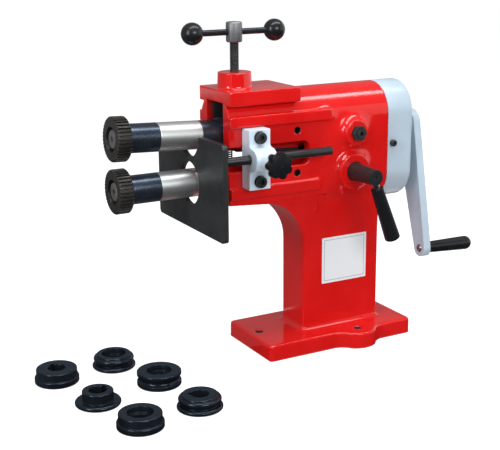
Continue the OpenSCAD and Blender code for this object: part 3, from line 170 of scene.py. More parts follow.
class FinishColours(bpy.types.PropertyGroup):
    """Colours of the finishes, as scene-linear values."""

    red: FloatVectorProperty(
        name="Red Enamel", description="Paint of the cast stand and the bearing arm", subtype="COLOR",
        default=(0.72, 0.008, 0.007),
    )
    grey: FloatVectorProperty(
        name="Grey Enamel", description="Paint of gear cover and crank arm", subtype="COLOR",
        default=(0.50, 0.585, 0.66),
    )
    pale: FloatVectorProperty(
        name="Pale Enamel", description="Paint of the guide bracket", subtype="COLOR",
        default=(0.74, 0.86, 0.95),
    )
    collar: FloatVectorProperty(
        name="Blued Steel", description="Blue black of collars, shafts, front bushes and spring",
        subtype="COLOR", default=(0.066, 0.080, 0.108),
    )
    roller: FloatVectorProperty(
        name="Roller Oxide", description="Warm black of the fitted rollers", subtype="COLOR",
        default=(0.052, 0.046, 0.041),
    )
    # Also the colour of painted shade in the stand's bore and holes, under the arm and in the deepest corners
    oxide: FloatVectorProperty(
        name="Blue Oxide", description="Blue black of tommy bar, spare rollers and bare iron",
        subtype="COLOR", default=(0.018, 0.020, 0.026),
    )
    plate: FloatVectorProperty(
        name="Plate Oxide", description="Charcoal of fence plate, guide rod and screws", subtype="COLOR",
        default=(0.042, 0.042, 0.043),
    )
    gunmetal: FloatVectorProperty(
        name="Gunmetal", description="Grey of the screw's hub, the roller screws and worn edges",
        subtype="COLOR", default=(0.27, 0.262, 0.268),
    )
    ground: FloatVectorProperty(
        name="Ground Steel", description="Bright steel of sleeves, lever rod and gears", subtype="COLOR",
        default=(0.43, 0.43, 0.43),
    )
    bronze: FloatVectorProperty(
        name="Bronze", description="Metal of the rear bushes", subtype="COLOR", default=(0.45, 0.26, 0.10)
    )
    plastic: FloatVectorProperty(
        name="Black Plastic", description="Balls, grips and star knob", subtype="COLOR",
        default=(0.010, 0.0105, 0.012),
    )
    label: FloatVectorProperty(
        name="Label", description="Face of the plain label", subtype="COLOR", default=(0.86, 0.86, 0.86)
    )
    keyline: FloatVectorProperty(
        name="Keyline", description="Thin line round the label", subtype="COLOR", default=(0.30, 0.31, 0.32)
    )
    # Stain colour, mixed into hollow corners by occlusion as oily stains and painted shade together
    grime: FloatVectorProperty(
        name="Dirt And Shade", description="Oily dirt in corners", subtype="COLOR", default=(0.16, 0.12, 0.10)
    )


class CastingShape(bpy.types.PropertyGroup):
    """How the sand-cast skins of stand, bracket and crank arm are formed."""

    grain: FloatProperty(
        name="Mesh Grain", description="Spacing of the stand's mesh before it is thinned out", unit="LENGTH",
        default=0.0008,
    )
    fillet_passes: IntProperty(
        name="Fillet Passes", description="How often hollow corners of the stand are filled", default=320
    )
    edge_passes: IntProperty(
        name="Edge Passes", description="How often all edges of the stand are rounded off", default=2
    )
    foot_passes: IntProperty(
        name="Foot Passes", description="How often edges of base and column are rounded further", default=22
    )
    small_grain: FloatProperty(
        name="Small Mesh Grain", description="Spacing of the mesh of bracket and crank arm", unit="LENGTH",
        default=0.0005,
    )
    small_passes: IntProperty(
        name="Small Edge Passes", description="How often edges of bracket and crank arm are rounded",
        default=6,
    )
    bracket_passes: IntProperty(
        name="Bracket Passes", description="How often hollow corners of the bracket are filled", default=90
    )
    kept: FloatProperty(
        name="Kept Faces", description="Share of a casting's faces that stay", subtype="FACTOR", default=0.16
    )


class EdgeShape(bpy.types.PropertyGroup):
    """Widths of broken edges."""

    fine: FloatProperty(
        name="Machined Edge", description="Edge break of turned and milled pieces", unit="LENGTH",
        default=0.0004,
    )
    soft: FloatProperty(
        name="Soft Edge", description="Edge rounding of gear cover and star knob", unit="LENGTH",
        default=0.0012,
    )


class ThreadShape(bpy.types.PropertyGroup):
    """Thread of the press screw."""

    pitch: FloatProperty(name="Pitch", description="Distance between crests", unit="LENGTH", default=0.0015)
    depth: FloatProperty(name="Depth", description="Height of the thread", unit="LENGTH", default=0.0006)
    plain: FloatProperty(
        name="Plain End", description="Length of the plain lower end, nose included", unit="LENGTH",
        default=0.009,
    )
    nose: FloatProperty(
        name="Nose", description="Length of the thin nose in the shoe", unit="LENGTH", default=0.005
    )
    nose_share: FloatProperty(
        name="Nose Radius", description="Radius of the nose as a share of the screw's", subtype="FACTOR",
        default=0.7,
    )


class SpringShape(bpy.types.PropertyGroup):
    """Coil spring under the bearing arm."""

    wire: FloatProperty(name="Wire", description="Thickness of the wire", unit="LENGTH", default=0.0015)
    turns: FloatProperty(name="Turns", description="Number of turns", default=5.0)
    steps: IntProperty(name="Steps", description="Rings of the wire in one turn", default=28)
    sides: IntProperty(name="Sides", description="Points round the wire", default=10)


class LabelShape(bpy.types.PropertyGroup):
    """Plain label on the column."""

    corner: FloatVectorProperty(
        name="Corner", description="Lower front corner of the label on the column", subtype="TRANSLATION",
        default=(-0.0140, -0.0252, 0.0755),
    )
    width: FloatProperty(name="Width", description="Length of the label", unit="LENGTH", default=0.064)
    height: FloatProperty(name="Height", description="Height of the label", unit="LENGTH", default=0.0575)
    thickness: FloatProperty(
        name="Thickness", description="Thickness of the foil", unit="LENGTH", default=0.0003
    )
    round: FloatProperty(
        name="Corner Radius", description="Radius of the corners", unit="LENGTH", default=0.0008
    )
    margin: FloatProperty(name="Margin", description="Edge to keyline", unit="LENGTH", default=0.003)
    line: FloatProperty(
        name="Keyline Width", description="Width of the keyline", unit="LENGTH", default=0.0006
    )


class StudioSettings(bpy.types.PropertyGroup):
    """Camera, floor and lamps."""

    eye: FloatVectorProperty(
        name="Camera Place", description="Where the camera stands", subtype="TRANSLATION",
        default=(-0.68006, -1.06726, 0.48323),
    )
    yaw: FloatProperty(
        name="Yaw", description="Turn of the view from +Y towards +X", subtype="ANGLE",
        default=math.radians(28.5614),
    )
    pitch: FloatProperty(
        name="Pitch", description="Downward tilt of the view", subtype="ANGLE", default=math.radians(15.0868)
    )
    roll: FloatProperty(
        name="Roll", description="Roll of the camera", subtype="ANGLE", default=math.radians(-0.4684)
    )
    lens: FloatProperty(
        name="Focal Length", description="Lens on a 36 mm wide sensor", subtype="DISTANCE_CAMERA",
        default=76.593,
    )
    floor: FloatProperty(name="Floor", description="Side of the floor", unit="LENGTH", default=8.0)
    sky: FloatProperty(name="Sky", description="Strength of the surrounding light", default=0.42)
    top: FloatProperty(
        name="Top Lamp", description="Power of the overhead lamp", unit="POWER", default=16.0
    )
    front: FloatProperty(
        name="Front Lamp", description="Power of the lamp by the camera", unit="POWER", default=12.0
    )
    side: FloatProperty(
        name="Side Lamp", description="Power of the lamp at the rollers", unit="POWER", default=9.5
    )


class MachineSettings(bpy.types.PropertyGroup):
    """All sizes and colours that can be changed."""

    finish: PointerProperty(type=FinishColours)
    casting: PointerProperty(type=CastingShape)
    edge: PointerProperty(type=EdgeShape)
    thread: PointerProperty(type=ThreadShape)
    spring: PointerProperty(type=SpringShape)
    label: PointerProperty(type=LabelShape)
    studio: PointerProperty(type=StudioSettings)


def settings():
    return bpy.context.scene.beading_machine


# Node trees


def rgba(colour, scale=1.0):
    return tuple(min(1.0, c * scale) for c in colour) + (1.0,)


class Wiring:
    """A node tree with short ways to add nodes and join their sockets."""

    def __init__(self, tree, fresh=True):
        self.tree = tree
        if fresh:
            tree.nodes.clear()

    def add(self, kind, inputs=None, **options):
        node = self.tree.nodes.new(kind)
        for name, value in options.items():
            setattr(node, name, value)
        for name, value in (inputs or {}).items():
            self.feed(node.inputs[name], value)
        return node

    def feed(self, socket, value):
        if isinstance(value, bpy.types.NodeSocket):
            self.tree.links.new(value, socket)
        else:
            socket.default_value = value

    def place(self, kind="Object"):
        return self.add("ShaderNodeTexCoord").outputs[kind]

    def axes(self, kind="Object"):
        return self.add("ShaderNodeSeparateXYZ", {"Vector": self.place(kind)}).outputs

    def math(self, operation, first, second=0.0, clamp=False):
        node = self.add("ShaderNodeMath", {0: first, 1: second}, operation=operation, use_clamp=clamp)
        return node.outputs[0]

    def spread(self, value, low, high, to_low=0.0, to_high=1.0):
        node = self.add(
            "ShaderNodeMapRange",
            {"Value": value, "From Min": low, "From Max": high, "To Min": to_low, "To Max": to_high},
            interpolation_type="SMOOTHSTEP",
        )
        return node.outputs["Result"]

    def mix(self, share, first, second):
        node = self.add("ShaderNodeMix", data_type="RGBA")
        self.feed(node.inputs["Factor"], share)
        self.feed(node.inputs["A"], first)
        self.feed(node.inputs["B"], second)
        return node.outputs["Result"]

    def noise(self, place, scale, detail=2.0, rough=0.5):
        node = self.add(
            "ShaderNodeTexNoise", {"Vector": place, "Scale": scale, "Detail": detail, "Roughness": rough}
        )
        return node.outputs["Fac"]

    def cloud(self, place, scale):
        """A soft mask of clouds."""
        return self.spread(self.noise(place, scale, detail=4.0, rough=0.6), 0.3, 0.7)

    def shaded(self, mask, colour, dark, light):
        """A colour that drifts between a darker and a lighter shade."""
        return self.mix(mask, rgba(colour, dark), rgba(colour, light))

    def drift(self, mask, rough, less=0.0, more=0.0, low=0.0, high=1.0):
        """A roughness that goes from a little less to a little more."""
        return self.spread(mask, low, high, rough - less, rough + more)

    def dulled(self, rough, share, dull):
        """A roughness that rises to a dull one where a share is full."""
        return self.math("MAXIMUM", rough, self.math("MULTIPLY", share, dull))

    def bump(self, height, distance, strength=1.0):
        node = self.add("ShaderNodeBump", {"Height": height, "Distance": distance, "Strength": strength})
        return node.outputs["Normal"]

    def group(self, tree, **inputs):
        node = self.add("ShaderNodeGroup", node_tree=tree)
        for name, value in inputs.items():
            self.feed(node.inputs[name.replace("_", " ").title()], value)
        return node.outputs


def once(library):
    """A decorator: what a function builds is kept under its name and found there after the first time."""

    def keep(build):
        def find():
            name = build.__name__
            return getattr(bpy.data, library).get(name) or build(name)

        return find

    return keep


shared_effect = once("node_groups")
shared_finish = once("materials")


def new_group(name, inputs, outputs):
    """An empty group, its wiring, its input sockets and its output sockets."""
    tree = bpy.data.node_groups.new(name, "ShaderNodeTree")
    for label, default in inputs.items():
        socket = tree.interface.new_socket(label, in_out="INPUT", socket_type="NodeSocketFloat")
        socket.default_value = default
    for label in outputs:
        tree.interface.new_socket(label, in_out="OUTPUT", socket_type="NodeSocketFloat")
    wires = Wiring(tree)
    entry = wires.add("NodeGroupInput")
    exit_node = wires.add("NodeGroupOutput")
    return tree, wires, entry.outputs, exit_node.inputs


@shared_effect
def paint_skin(name):
    """Orange peel and slow waves of a sprayed casting, and a cloudy mask."""
    tree, wires, given, out = new_group(
        name, {"Peel Scale": 700.0, "Wave Scale": 60.0, "Peel Share": 0.12}, ["Height", "Cloud"]
    )
    place = wires.place()
    peel = wires.noise(place, given["Peel Scale"], detail=1.5)
    wave = wires.noise(place, given["Wave Scale"])
    fine = wires.math("MULTIPLY", peel, given["Peel Share"])
    wires.feed(out["Height"], wires.math("ADD", wave, fine))
    wires.feed(out["Cloud"], wires.cloud(place, scale=18.0))
    return tree


@shared_effect
def edge_wear(name):
    """Mask of outer and inner edges, broken up by a fine noise."""
    tree, wires, given, out = new_group(name, {"Width": 0.0005, "Break Scale": 400.0}, ["Mask"])
    place = wires.place()
    rounded = wires.add("ShaderNodeBevel", {"Radius": given["Width"]}, samples=4).outputs["Normal"]
    plain = wires.add("ShaderNodeNewGeometry").outputs["Normal"]
    turn = wires.add("ShaderNodeVectorMath", {0: rounded, 1: plain}, operation="DOT_PRODUCT")
    edge = wires.spread(turn.outputs["Value"], 0.985, 0.85)
    broken = wires.spread(wires.noise(place, given["Break Scale"], detail=3.0), 0.35, 0.6)
    wires.feed(out["Mask"], wires.math("MULTIPLY", edge, broken))
    return tree


@shared_effect
def corner_grime(name):
    """Masks from occlusion: hollow corners with ragged borders, where oily stains and painted shade go, and
    the deepest ones, where painted shade goes.
    """
    tree, wires, given, out = new_group(name, {"Reach": 0.006, "Ragged Scale": 120.0}, ["Mask", "Deep"])
    place = wires.place()
    sky = wires.add("ShaderNodeAmbientOcclusion", {"Distance": given["Reach"]}, samples=6).outputs["AO"]
    shut = wires.math("SUBTRACT", 1.0, sky)
    ragged = wires.spread(wires.noise(place, given["Ragged Scale"], detail=4.0, rough=0.65), 0.35, 0.65)
    wires.feed(out["Mask"], wires.math("MULTIPLY", shut, ragged, clamp=True))
    wires.feed(out["Deep"], wires.spread(sky, 0.34, 0.14))
    return tree


@shared_effect
def tool_marks(name):
    """Fine lines across a direction of cutting, and a cloudy mask of the oxide."""
    tree, wires, given, out = new_group(name, {"Along": 0.0, "Fineness": 3000.0}, ["Lines", "Cloud"])
    reach = wires.math("MULTIPLY", given["Along"], given["Fineness"])
    lines = wires.add("ShaderNodeTexNoise", {"W": reach, "Scale": 1.0, "Detail": 3.0}, noise_dimensions="1D")
    wires.feed(out["Lines"], lines.outputs["Fac"])
    wires.feed(out["Cloud"], wires.cloud(wires.place(), scale=45.0))
    return tree


# Finishes


def blank_material(name):
    """A material without nodes, and its wiring."""
    material = bpy.data.materials.new(name)
    material.use_nodes = True
    return material, Wiring(material.node_tree)


def new_finish(name):
    """A material, its wiring and the inputs of its Principled BSDF."""
    material, wires = blank_material(name)
    shader = wires.add("ShaderNodeBsdfPrincipled")
    wires.add("ShaderNodeOutputMaterial", {"Surface": shader.outputs["BSDF"]})
    return material, wires, shader.inputs


def enamel(name, colour, dirt_and_shade_share, rough, gloss, coat):
    """Sprayed gloss paint on a casting."""
    finish = settings().finish
    material, wires, shader = new_finish(name)
    skin = wires.group(paint_skin())
    # Hollow corners take the stain colour, as oily stains and painted shade together
    grime = wires.group(corner_grime(), reach=0.005)
    tone = wires.shaded(skin["Cloud"], colour, dark=0.94, light=1.05)
    share = wires.math("MULTIPLY", grime["Mask"], dirt_and_shade_share)
    painted = wires.mix(share, tone, rgba(finish.grime))
    # The deepest corners turn to dark oxide: painted shade
    wires.feed(shader["Base Color"], wires.mix(grime["Deep"], painted, rgba(finish.oxide)))
    sheen = wires.drift(skin["Cloud"], rough, more=0.06)
    wires.feed(shader["Roughness"], wires.dulled(sheen, grime["Deep"], DEEP_CORNER_ROUGHNESS))
    wires.feed(shader["Normal"], wires.bump(skin["Height"], distance=0.0004, strength=0.4))
    shader["Specular IOR Level"].default_value = gloss
    shader["Coat Weight"].default_value = coat
    shader["Coat Roughness"].default_value = 0.04
    return material


def undercoated(material, share, colour):
    """Mixes in another, dull colour where a share is given: painted shade in the stand's bore and holes and
    under the arm, and the darkened front end of the arm.
    """
    wires = Wiring(material.node_tree, fresh=False)
    shader = material.node_tree.nodes["Principled BSDF"].inputs
    tone, sheen = shader["Base Color"], shader["Roughness"]
    wires.feed(tone, wires.mix(share, tone.links[0].from_socket, rgba(colour)))
    wires.feed(sheen, wires.dulled(sheen.links[0].from_socket, share, DARKENED_ROUGHNESS))
    return material


def hole_walls(wires, across, along, middles, radius):
    """Mask of the walls of round holes whose middles are given in two axes."""
    mask = 0.0
    for side, height in middles:
        gaps = []
        for axis, middle in ((across, side), (along, height)):
            gap = wires.math("SUBTRACT", axis, middle)
            gaps.append(wires.math("MULTIPLY", gap, gap))
        away = wires.math("SQRT", wires.math("ADD", gaps[0], gaps[1]))
        mask = wires.math("MAXIMUM", mask, wires.spread(away, radius, radius - HOLE_EDGE))
    return mask


@shared_finish
def stand_enamel(name):
    """Red paint outside, with painted shade inside: the head's bore and the tapped and bolt holes turn to
    dull dark oxide.
    """
    finish = settings().finish
    material = enamel(name, finish.red, dirt_and_shade_share=0.10, rough=0.12, gloss=0.45, coat=0.32)
    wires = Wiring(material.node_tree, fresh=False)
    axes = wires.axes()
    # Painted shade: the bore darkens from its mouth inwards, and the walls of the holes darken
    aside = wires.spread(wires.math("ABSOLUTE", axes["Y"]), *BORE_SIDE)
    away = wires.math("ABSOLUTE", wires.math("SUBTRACT", axes["Z"], BORE_MIDDLE))
    level = wires.spread(away, *BORE_REACH)
    behind = wires.spread(axes["X"], *BORE_MOUTH)
    before = wires.spread(axes["X"], *BORE_END)
    bore = wires.math("MULTIPLY", aside, level)
    bore = wires.math("MULTIPLY", bore, wires.math("MULTIPLY", behind, before))
    taps = hole_walls(wires, axes["X"], axes["Z"], TAPS, TAP_RADIUS)
    bolts = hole_walls(wires, axes["X"], axes["Y"], BASE_BOLTS, BOLT_RADIUS)
    bolts = wires.math("MULTIPLY", bolts, wires.math("LESS_THAN", axes["Z"], BASE_TOP))
    darkened = wires.math("MAXIMUM", bore, wires.math("MAXIMUM", taps, bolts))
    return undercoated(material, darkened, finish.oxide)


@shared_finish
def arm_enamel(name):
    """Red paint darkened as painted shade, with painted shade under the tube along the keel and a darkened
    front end, both dull.
    """
    finish = settings().finish
    red_in_shade = [0.7 * c for c in finish.red]
    material = enamel(name, red_in_shade, dirt_and_shade_share=0.2, rough=0.40, gloss=0.12, coat=0.0)
    wires = Wiring(material.node_tree, fresh=False)
    axes = wires.axes()
    # Painted shade below the tube's floor, along the keel, and a darkened front end of the arm
    fall = upper_axis.z / upper_axis.x
    level = wires.math("SUBTRACT", axes["Z"], wires.math("MULTIPLY", axes["X"], fall))
    tube_floor = pivot.z - pivot.x * fall - ARM_RADIUS
    keel = wires.spread(level, *[tube_floor + step for step in ARM_KEEL])
    nose = wires.spread(axes["X"], *ARM_NOSE)
    return undercoated(material, wires.math("MAXIMUM", keel, nose), finish.oxide)


@shared_finish
def grey_enamel(name):
    return enamel(name, settings().finish.grey, dirt_and_shade_share=0.45, rough=0.36, gloss=0.4, coat=0.3)


@shared_finish
def pale_enamel(name):
    return enamel(name, settings().finish.pale, dirt_and_shade_share=0.75, rough=0.36, gloss=0.4, coat=0.3)


def oxide(name, colour, axis, rough, metal, gloss, wear, fineness=2500.0):
    """Black oxide on turned or milled steel, worn to lighter metal on its edges."""
    material, wires, shader = new_finish(name)
    marks = wires.group(tool_marks(), along=wires.axes()[axis], fineness=fineness)
    worn = wires.group(edge_wear(), width=0.0006)
    tone = wires.shaded(marks["Cloud"], colour, dark=0.8, light=1.25)
    share = wires.math("MULTIPLY", worn["Mask"], wear)
    wires.feed(shader["Base Color"], wires.mix(share, tone, rgba(settings().finish.gunmetal)))
    sheen = wires.drift(marks["Lines"], rough, less=0.07, more=0.09, low=0.2, high=0.8)
    wires.feed(shader["Roughness"], sheen)
    wires.feed(shader["Normal"], wires.bump(marks["Lines"], distance=0.00001, strength=0.2))
    shader["Metallic"].default_value = metal
    shader["Specular IOR Level"].default_value = gloss
    return material


@shared_finish
def roller_oxide(name):
    return oxide(name, settings().finish.roller, "X", rough=0.40, metal=0.75, gloss=0.5, wear=0.6)


@shared_finish
def collar_oxide(name):
    return oxide(name, settings().finish.collar, "X", rough=0.27, metal=0.8, gloss=0.5, wear=0.25)


@shared_finish
def bar_oxide(name):
    return oxide(name, settings().finish.oxide, "Z", rough=0.27, metal=0.4, gloss=0.5, wear=0.25)


@shared_finish
def spare_oxide(name):
    """Oiled blue black of the spare rollers."""
    material = oxide(name, settings().finish.oxide, "Z", rough=0.24, metal=0.6, gloss=0.8, wear=0.10)
    shader = material.node_tree.nodes["Principled BSDF"].inputs
    shader["Specular Tint"].default_value = (0.58, 0.78, 1.0, 1.0)
    return material


@shared_finish
def plate_oxide(name):
    colour = settings().finish.plate
    return oxide(name, colour, "Y", rough=0.38, metal=0.5, gloss=0.5, wear=0.35, fineness=900.0)


@shared_finish
def rod_oxide(name):
    return oxide(name, settings().finish.plate, "X", rough=0.33, metal=0.6, gloss=0.4, wear=0.3)


@shared_finish
def screw_oxide(name):
    return oxide(name, settings().finish.plate, "Y", rough=0.38, metal=0.4, gloss=0.3, wear=0.5)


@shared_finish
def hub_gunmetal(name):
    return oxide(name, settings().finish.gunmetal, "X", rough=0.50, metal=0.9, gloss=0.5, wear=0.2)


def steel(name, colour, axis, rough, fineness):
    """Ground or turned bright metal with fine lines."""
    material, wires, shader = new_finish(name)
    marks = wires.group(tool_marks(), along=wires.axes()[axis], fineness=fineness)
    wires.feed(shader["Base Color"], wires.shaded(marks["Cloud"], colour, dark=0.93, light=1.05))
    sheen = wires.drift(marks["Lines"], rough, less=0.05, more=0.1, low=0.2, high=0.8)
    wires.feed(shader["Roughness"], sheen)
    wires.feed(shader["Normal"], wires.bump(marks["Lines"], distance=0.00002, strength=0.4))
    shader["Metallic"].default_value = 1.0
    shader["Anisotropic"].default_value = 0.4
    return material


@shared_finish
def ground_steel(name):
    return steel(name, settings().finish.ground, "X", rough=0.30, fineness=4000.0)


@shared_finish
def bright_steel(name):
    return steel(name, settings().finish.ground, "Z", rough=0.26, fineness=2500.0)


@shared_finish
def bronze(name):
    return steel(name, settings().finish.bronze, "X", rough=0.34, fineness=2500.0)


def plastic(name, rough, gloss, coat, peel):
    """Moulded black plastic with a faint skin."""
    material, wires, shader = new_finish(name)
    skin = wires.group(paint_skin(), peel_scale=1500.0, wave_scale=120.0)
    tone = wires.shaded(skin["Cloud"], settings().finish.plastic, dark=0.85, light=1.2)
    wires.feed(shader["Base Color"], tone)
    wires.feed(shader["Roughness"], wires.drift(skin["Cloud"], rough, more=0.08))
    wires.feed(shader["Normal"], wires.bump(skin["Height"], distance=peel, strength=0.4))
    shader["Specular IOR Level"].default_value = gloss
    shader["Coat Weight"].default_value = coat
    shader["Coat Roughness"].default_value = 0.12
    return material


@shared_finish
def gloss_plastic(name):
    return plastic(name, rough=0.22, gloss=0.34, coat=0.12, peel=0.00004)


@shared_finish
def matte_plastic(name):
    return plastic(name, rough=0.36, gloss=0.14, coat=0.0, peel=0.00012)


@shared_finish
def label_foil(name):
    """White foil with a thin line a little inside its edge."""
    finish, shape = settings().finish, settings().label
    material, wires, shader = new_finish(name)
    axes = wires.axes("Generated")
    reach = []
    for axis, side in (("X", shape.width), ("Z", shape.height)):
        mid = wires.math("ABSOLUTE", wires.math("SUBTRACT", axes[axis], 0.5))
        reach.append(wires.math("MULTIPLY", wires.math("SUBTRACT", 0.5, mid), side))
    edge = wires.math("MINIMUM", reach[0], reach[1])
    outer = wires.math("GREATER_THAN", edge, shape.margin)
    inner = wires.math("LESS_THAN", edge, shape.margin + shape.line)
    line = wires.math("MULTIPLY", outer, inner)
    cloud = wires.group(paint_skin())["Cloud"]
    wires.feed(shader["Base Color"], wires.mix(line, rgba(finish.label), rgba(finish.keyline)))
    wires.feed(shader["Roughness"], wires.drift(cloud, 0.32, more=0.08))
    return material


# Meshes


def placed(name, data):
    """A new object in the scene."""
    made = bpy.data.objects.new(name, data)
    bpy.context.scene.collection.objects.link(made)
    return made


def new_piece(name, mesh, body, material):
    """Puts a mesh into the scene as a piece of one body."""
    piece = placed(name, mesh)
    mesh.materials.clear()
    mesh.materials.append(material)
    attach(piece, body)
    return piece


def applied(piece):
    """The mesh of a helper object with its modifiers worked in. The object goes."""
    bpy.context.view_layer.update()
    depsgraph = bpy.context.evaluated_depsgraph_get()
    made = bpy.data.meshes.new_from_object(piece.evaluated_get(depsgraph))
    bpy.data.objects.remove(piece)
    return made


def remeshed(mesh, name, grain):
    """A copy of a mesh as even squares of one size."""
    rough = placed(name + "_rough", mesh.copy())
    even = rough.modifiers.new("even", "REMESH")
    even.mode = "VOXEL"
    even.voxel_size = grain
    return applied(rough)


def thinned(mesh, name, kept):
    """A copy of a mesh with fewer faces, most of them where it bends."""
    dense = placed(name + "_dense", mesh)
    thin = dense.modifiers.new("thin", "DECIMATE")
    thin.ratio = kept
    return applied(dense)


def cast_piece(name, even, node, body, material):
    """Thins out an even mesh, shades its flat faces flat and puts it in the place of a CAD node."""
    mesh = thinned(even, name, settings().casting.kept)
    mesh.shade_smooth()
    piece = new_piece(name, mesh, body, material)
    piece.modifiers.new("flat faces", "WEIGHTED_NORMAL").weight = FLAT_WEIGHT
    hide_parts(node)


def corners(mesh):
    places = np.empty(len(mesh.vertices) * 3, np.float32)
    mesh.vertices.foreach_get("co", places)
    return places.reshape(-1, 3)


def moved(mesh, places):
    """Sets the corners of a mesh and gives their normals there."""
    mesh.vertices.foreach_set("co", places.ravel())
    mesh.update()
    out = np.empty(len(mesh.vertices) * 3, np.float32)
    mesh.vertex_normals.foreach_get("vector", out)
    return out.reshape(-1, 3)


def neighbour_means(mesh, chosen):
    """A function that gives the mean place of the neighbours of each chosen corner."""
    pairs = np.empty(len(mesh.edges) * 2, np.int32)
    mesh.edges.foreach_get("vertices", pairs)
    pairs = pairs.reshape(-1, 2)
    start = np.concatenate([pairs[:, 0], pairs[:, 1]])
    end = np.concatenate([pairs[:, 1], pairs[:, 0]])
    taken = np.isin(start, chosen)
    start, end = start[taken], end[taken]
    end = end[np.argsort(start, kind="stable")]
    count = np.bincount(start, minlength=len(mesh.vertices))[chosen]
    first = np.concatenate([[0], np.cumsum(count)[:-1]])
    return lambda places: np.add.reduceat(places[end], first) / count[:, None]


def smooth_step(values, low, high):
    share = np.clip((values - low) / (high - low), 0.0, 1.0)
    return share * share * (3 - 2 * share)


def fillet_zone(places):
    """How far each corner of the stand is filled: outside the housing, but in no bore or seat, and a little
    round the top boss and the root of the column."""
    x, y, z = places.T
    housing = smooth_step(x, *HOUSING_FRONT) * (1 - smooth_step(x, *HOUSING_REAR))
    outside = smooth_step(np.abs(y), *HOUSING_SIDE)
    off_lever = smooth_step(np.hypot(x - lever_axis.x, z - lever_axis.z), *LEVER_SEAT)
    off_pivot = smooth_step(np.hypot(x - pivot.x, z - pivot.z), *PIVOT_SEAT)
    zone = housing * outside * off_lever * off_pivot * smooth_step(z, *HOUSING_FOOT)
    boss = smooth_step(z, *BOSS_FOOT) * smooth_step(np.hypot(x - screw_axis.x, y), *BOSS_BORE)
    beside = np.maximum(np.abs(x - COLUMN_MIDDLE) - COLUMN_HALF[0], np.abs(y) - COLUMN_HALF[1])
    root = (1 - smooth_step(beside, *ROOT_SIDE)) * (1 - smooth_step(z, *ROOT_HIGH))
    root = root * smooth_step(z, *ROOT_LOW)
    return np.maximum(zone, np.maximum(BOSS_SHARE * boss, ROOT_SHARE * root))


def foot_zone(places):
    """How far the edges of base and column are rounded further: from just above the floor to the arch."""
    height = places[:, 2]
    return smooth_step(height, *FOOT_LOW) * (1 - smooth_step(height, *FOOT_HIGH))


def soften(mesh, zone, fillet_passes, edge_passes):
    """Fills the hollow corners of a zone and rounds all edges of an even mesh."""
    places = corners(mesh)
    filled = np.nonzero(zone > SMALLEST_SHARE)[0]
    means = neighbour_means(mesh, filled)
    share = PASS_SHARE * zone[filled]
    for step in range(fillet_passes):
        if step % NORMAL_REFRESH == 0:
            outward = moved(mesh, places)[filled]
        lift = ((means(places) - places[filled]) * outward).sum(axis=1)
        places[filled] += outward * (share * np.maximum(lift, 0.0))[:, None]
    means = neighbour_means(mesh, np.arange(len(places)))
    for _ in range(edge_passes):
        places += PASS_SHARE * (means(places) - places)
    moved(mesh, places)


def wear(mesh, zone, passes):
    """Rounds the edges of one zone of an even mesh further."""
    places = corners(mesh)
    worn = np.nonzero(zone > SMALLEST_SHARE)[0]
    means = neighbour_means(mesh, worn)
    share = PASS_SHARE * zone[worn][:, None]
    for _ in range(passes):
        places[worn] += share * (means(places) - places[worn])
    moved(mesh, places)


def ring_mesh(rings, around):
    """Closed mesh through a row of rings, all with the same count of points."""
    form = bmesh.new()
    made = [[form.verts.new(p) for p in ring] for ring in rings]
    for low, high in zip(made, made[1:]):
        for i in range(around):
            j = (i + 1) % around
            form.faces.new((low[i], low[j], high[j], high[i]))
    form.faces.new(made[0][::-1])
    form.faces.new(made[-1])
    for face in form.faces:
        face.smooth = len(face.verts) == 4
    mesh = bpy.data.meshes.new("rings")
    form.to_mesh(mesh)
    form.free()
    return mesh


def coil_rings(shape, low, high):
    """Rings along the wire of a coil spring that fills a box."""
    middle = (Vector(low) + Vector(high)) / 2
    radius = (high[0] - low[0] - shape.wire) / 2
    last = round(shape.turns * shape.steps)
    rings = []
    for i in range(last + 1):
        turn = 2 * math.pi * i / shape.steps
        out = Vector((math.cos(turn), math.sin(turn), 0.0))
        core = out * radius + Vector((middle.x, middle.y, low[2] + shape.wire / 2))
        core.z += (high[2] - low[2] - shape.wire) * i / last
        ring = []
        for k in range(shape.sides):
            side = 2 * math.pi * k / shape.sides
            ring.append(core + shape.wire / 2 * (out * math.cos(side) - Vector((0, 0, math.sin(side)))))
        rings.append(ring)
    return rings


def thread_rings(shape, low, high, radius, around):
    """Rings up a screw: a thin nose, a plain end and then the thread, which climbs one pitch a turn."""
    centre = Vector((screw_axis.x, screw_axis.y, 0.0))
    turn = 2 * math.pi / around

    def ring(z, radii):
        return [
            centre + Vector((r * math.cos(turn * i), r * math.sin(turn * i), z)) for i, r in enumerate(radii)
        ]

    def flank(z, i):
        share = (z / shape.pitch - i / around) % 1.0
        slope = (abs(2 * share - 1) - CREST_SHARE) / (1 - 2 * CREST_SHARE)
        return radius - shape.depth * min(1.0, max(0.0, slope))

    nose = [shape.nose_share * radius] * around
    root = [radius - shape.depth] * around
    rings = [ring(low, nose), ring(low + shape.nose, nose)]
    rings += [ring(low + shape.nose, root), ring(low + shape.plain, root)]
    step = shape.pitch / RINGS_A_PITCH
    z = low + shape.plain
    while z < high - step:
        z += step
        rings.append(ring(z, [flank(z, i) for i in range(around)]))
    rings.append(ring(high, root))
    return rings


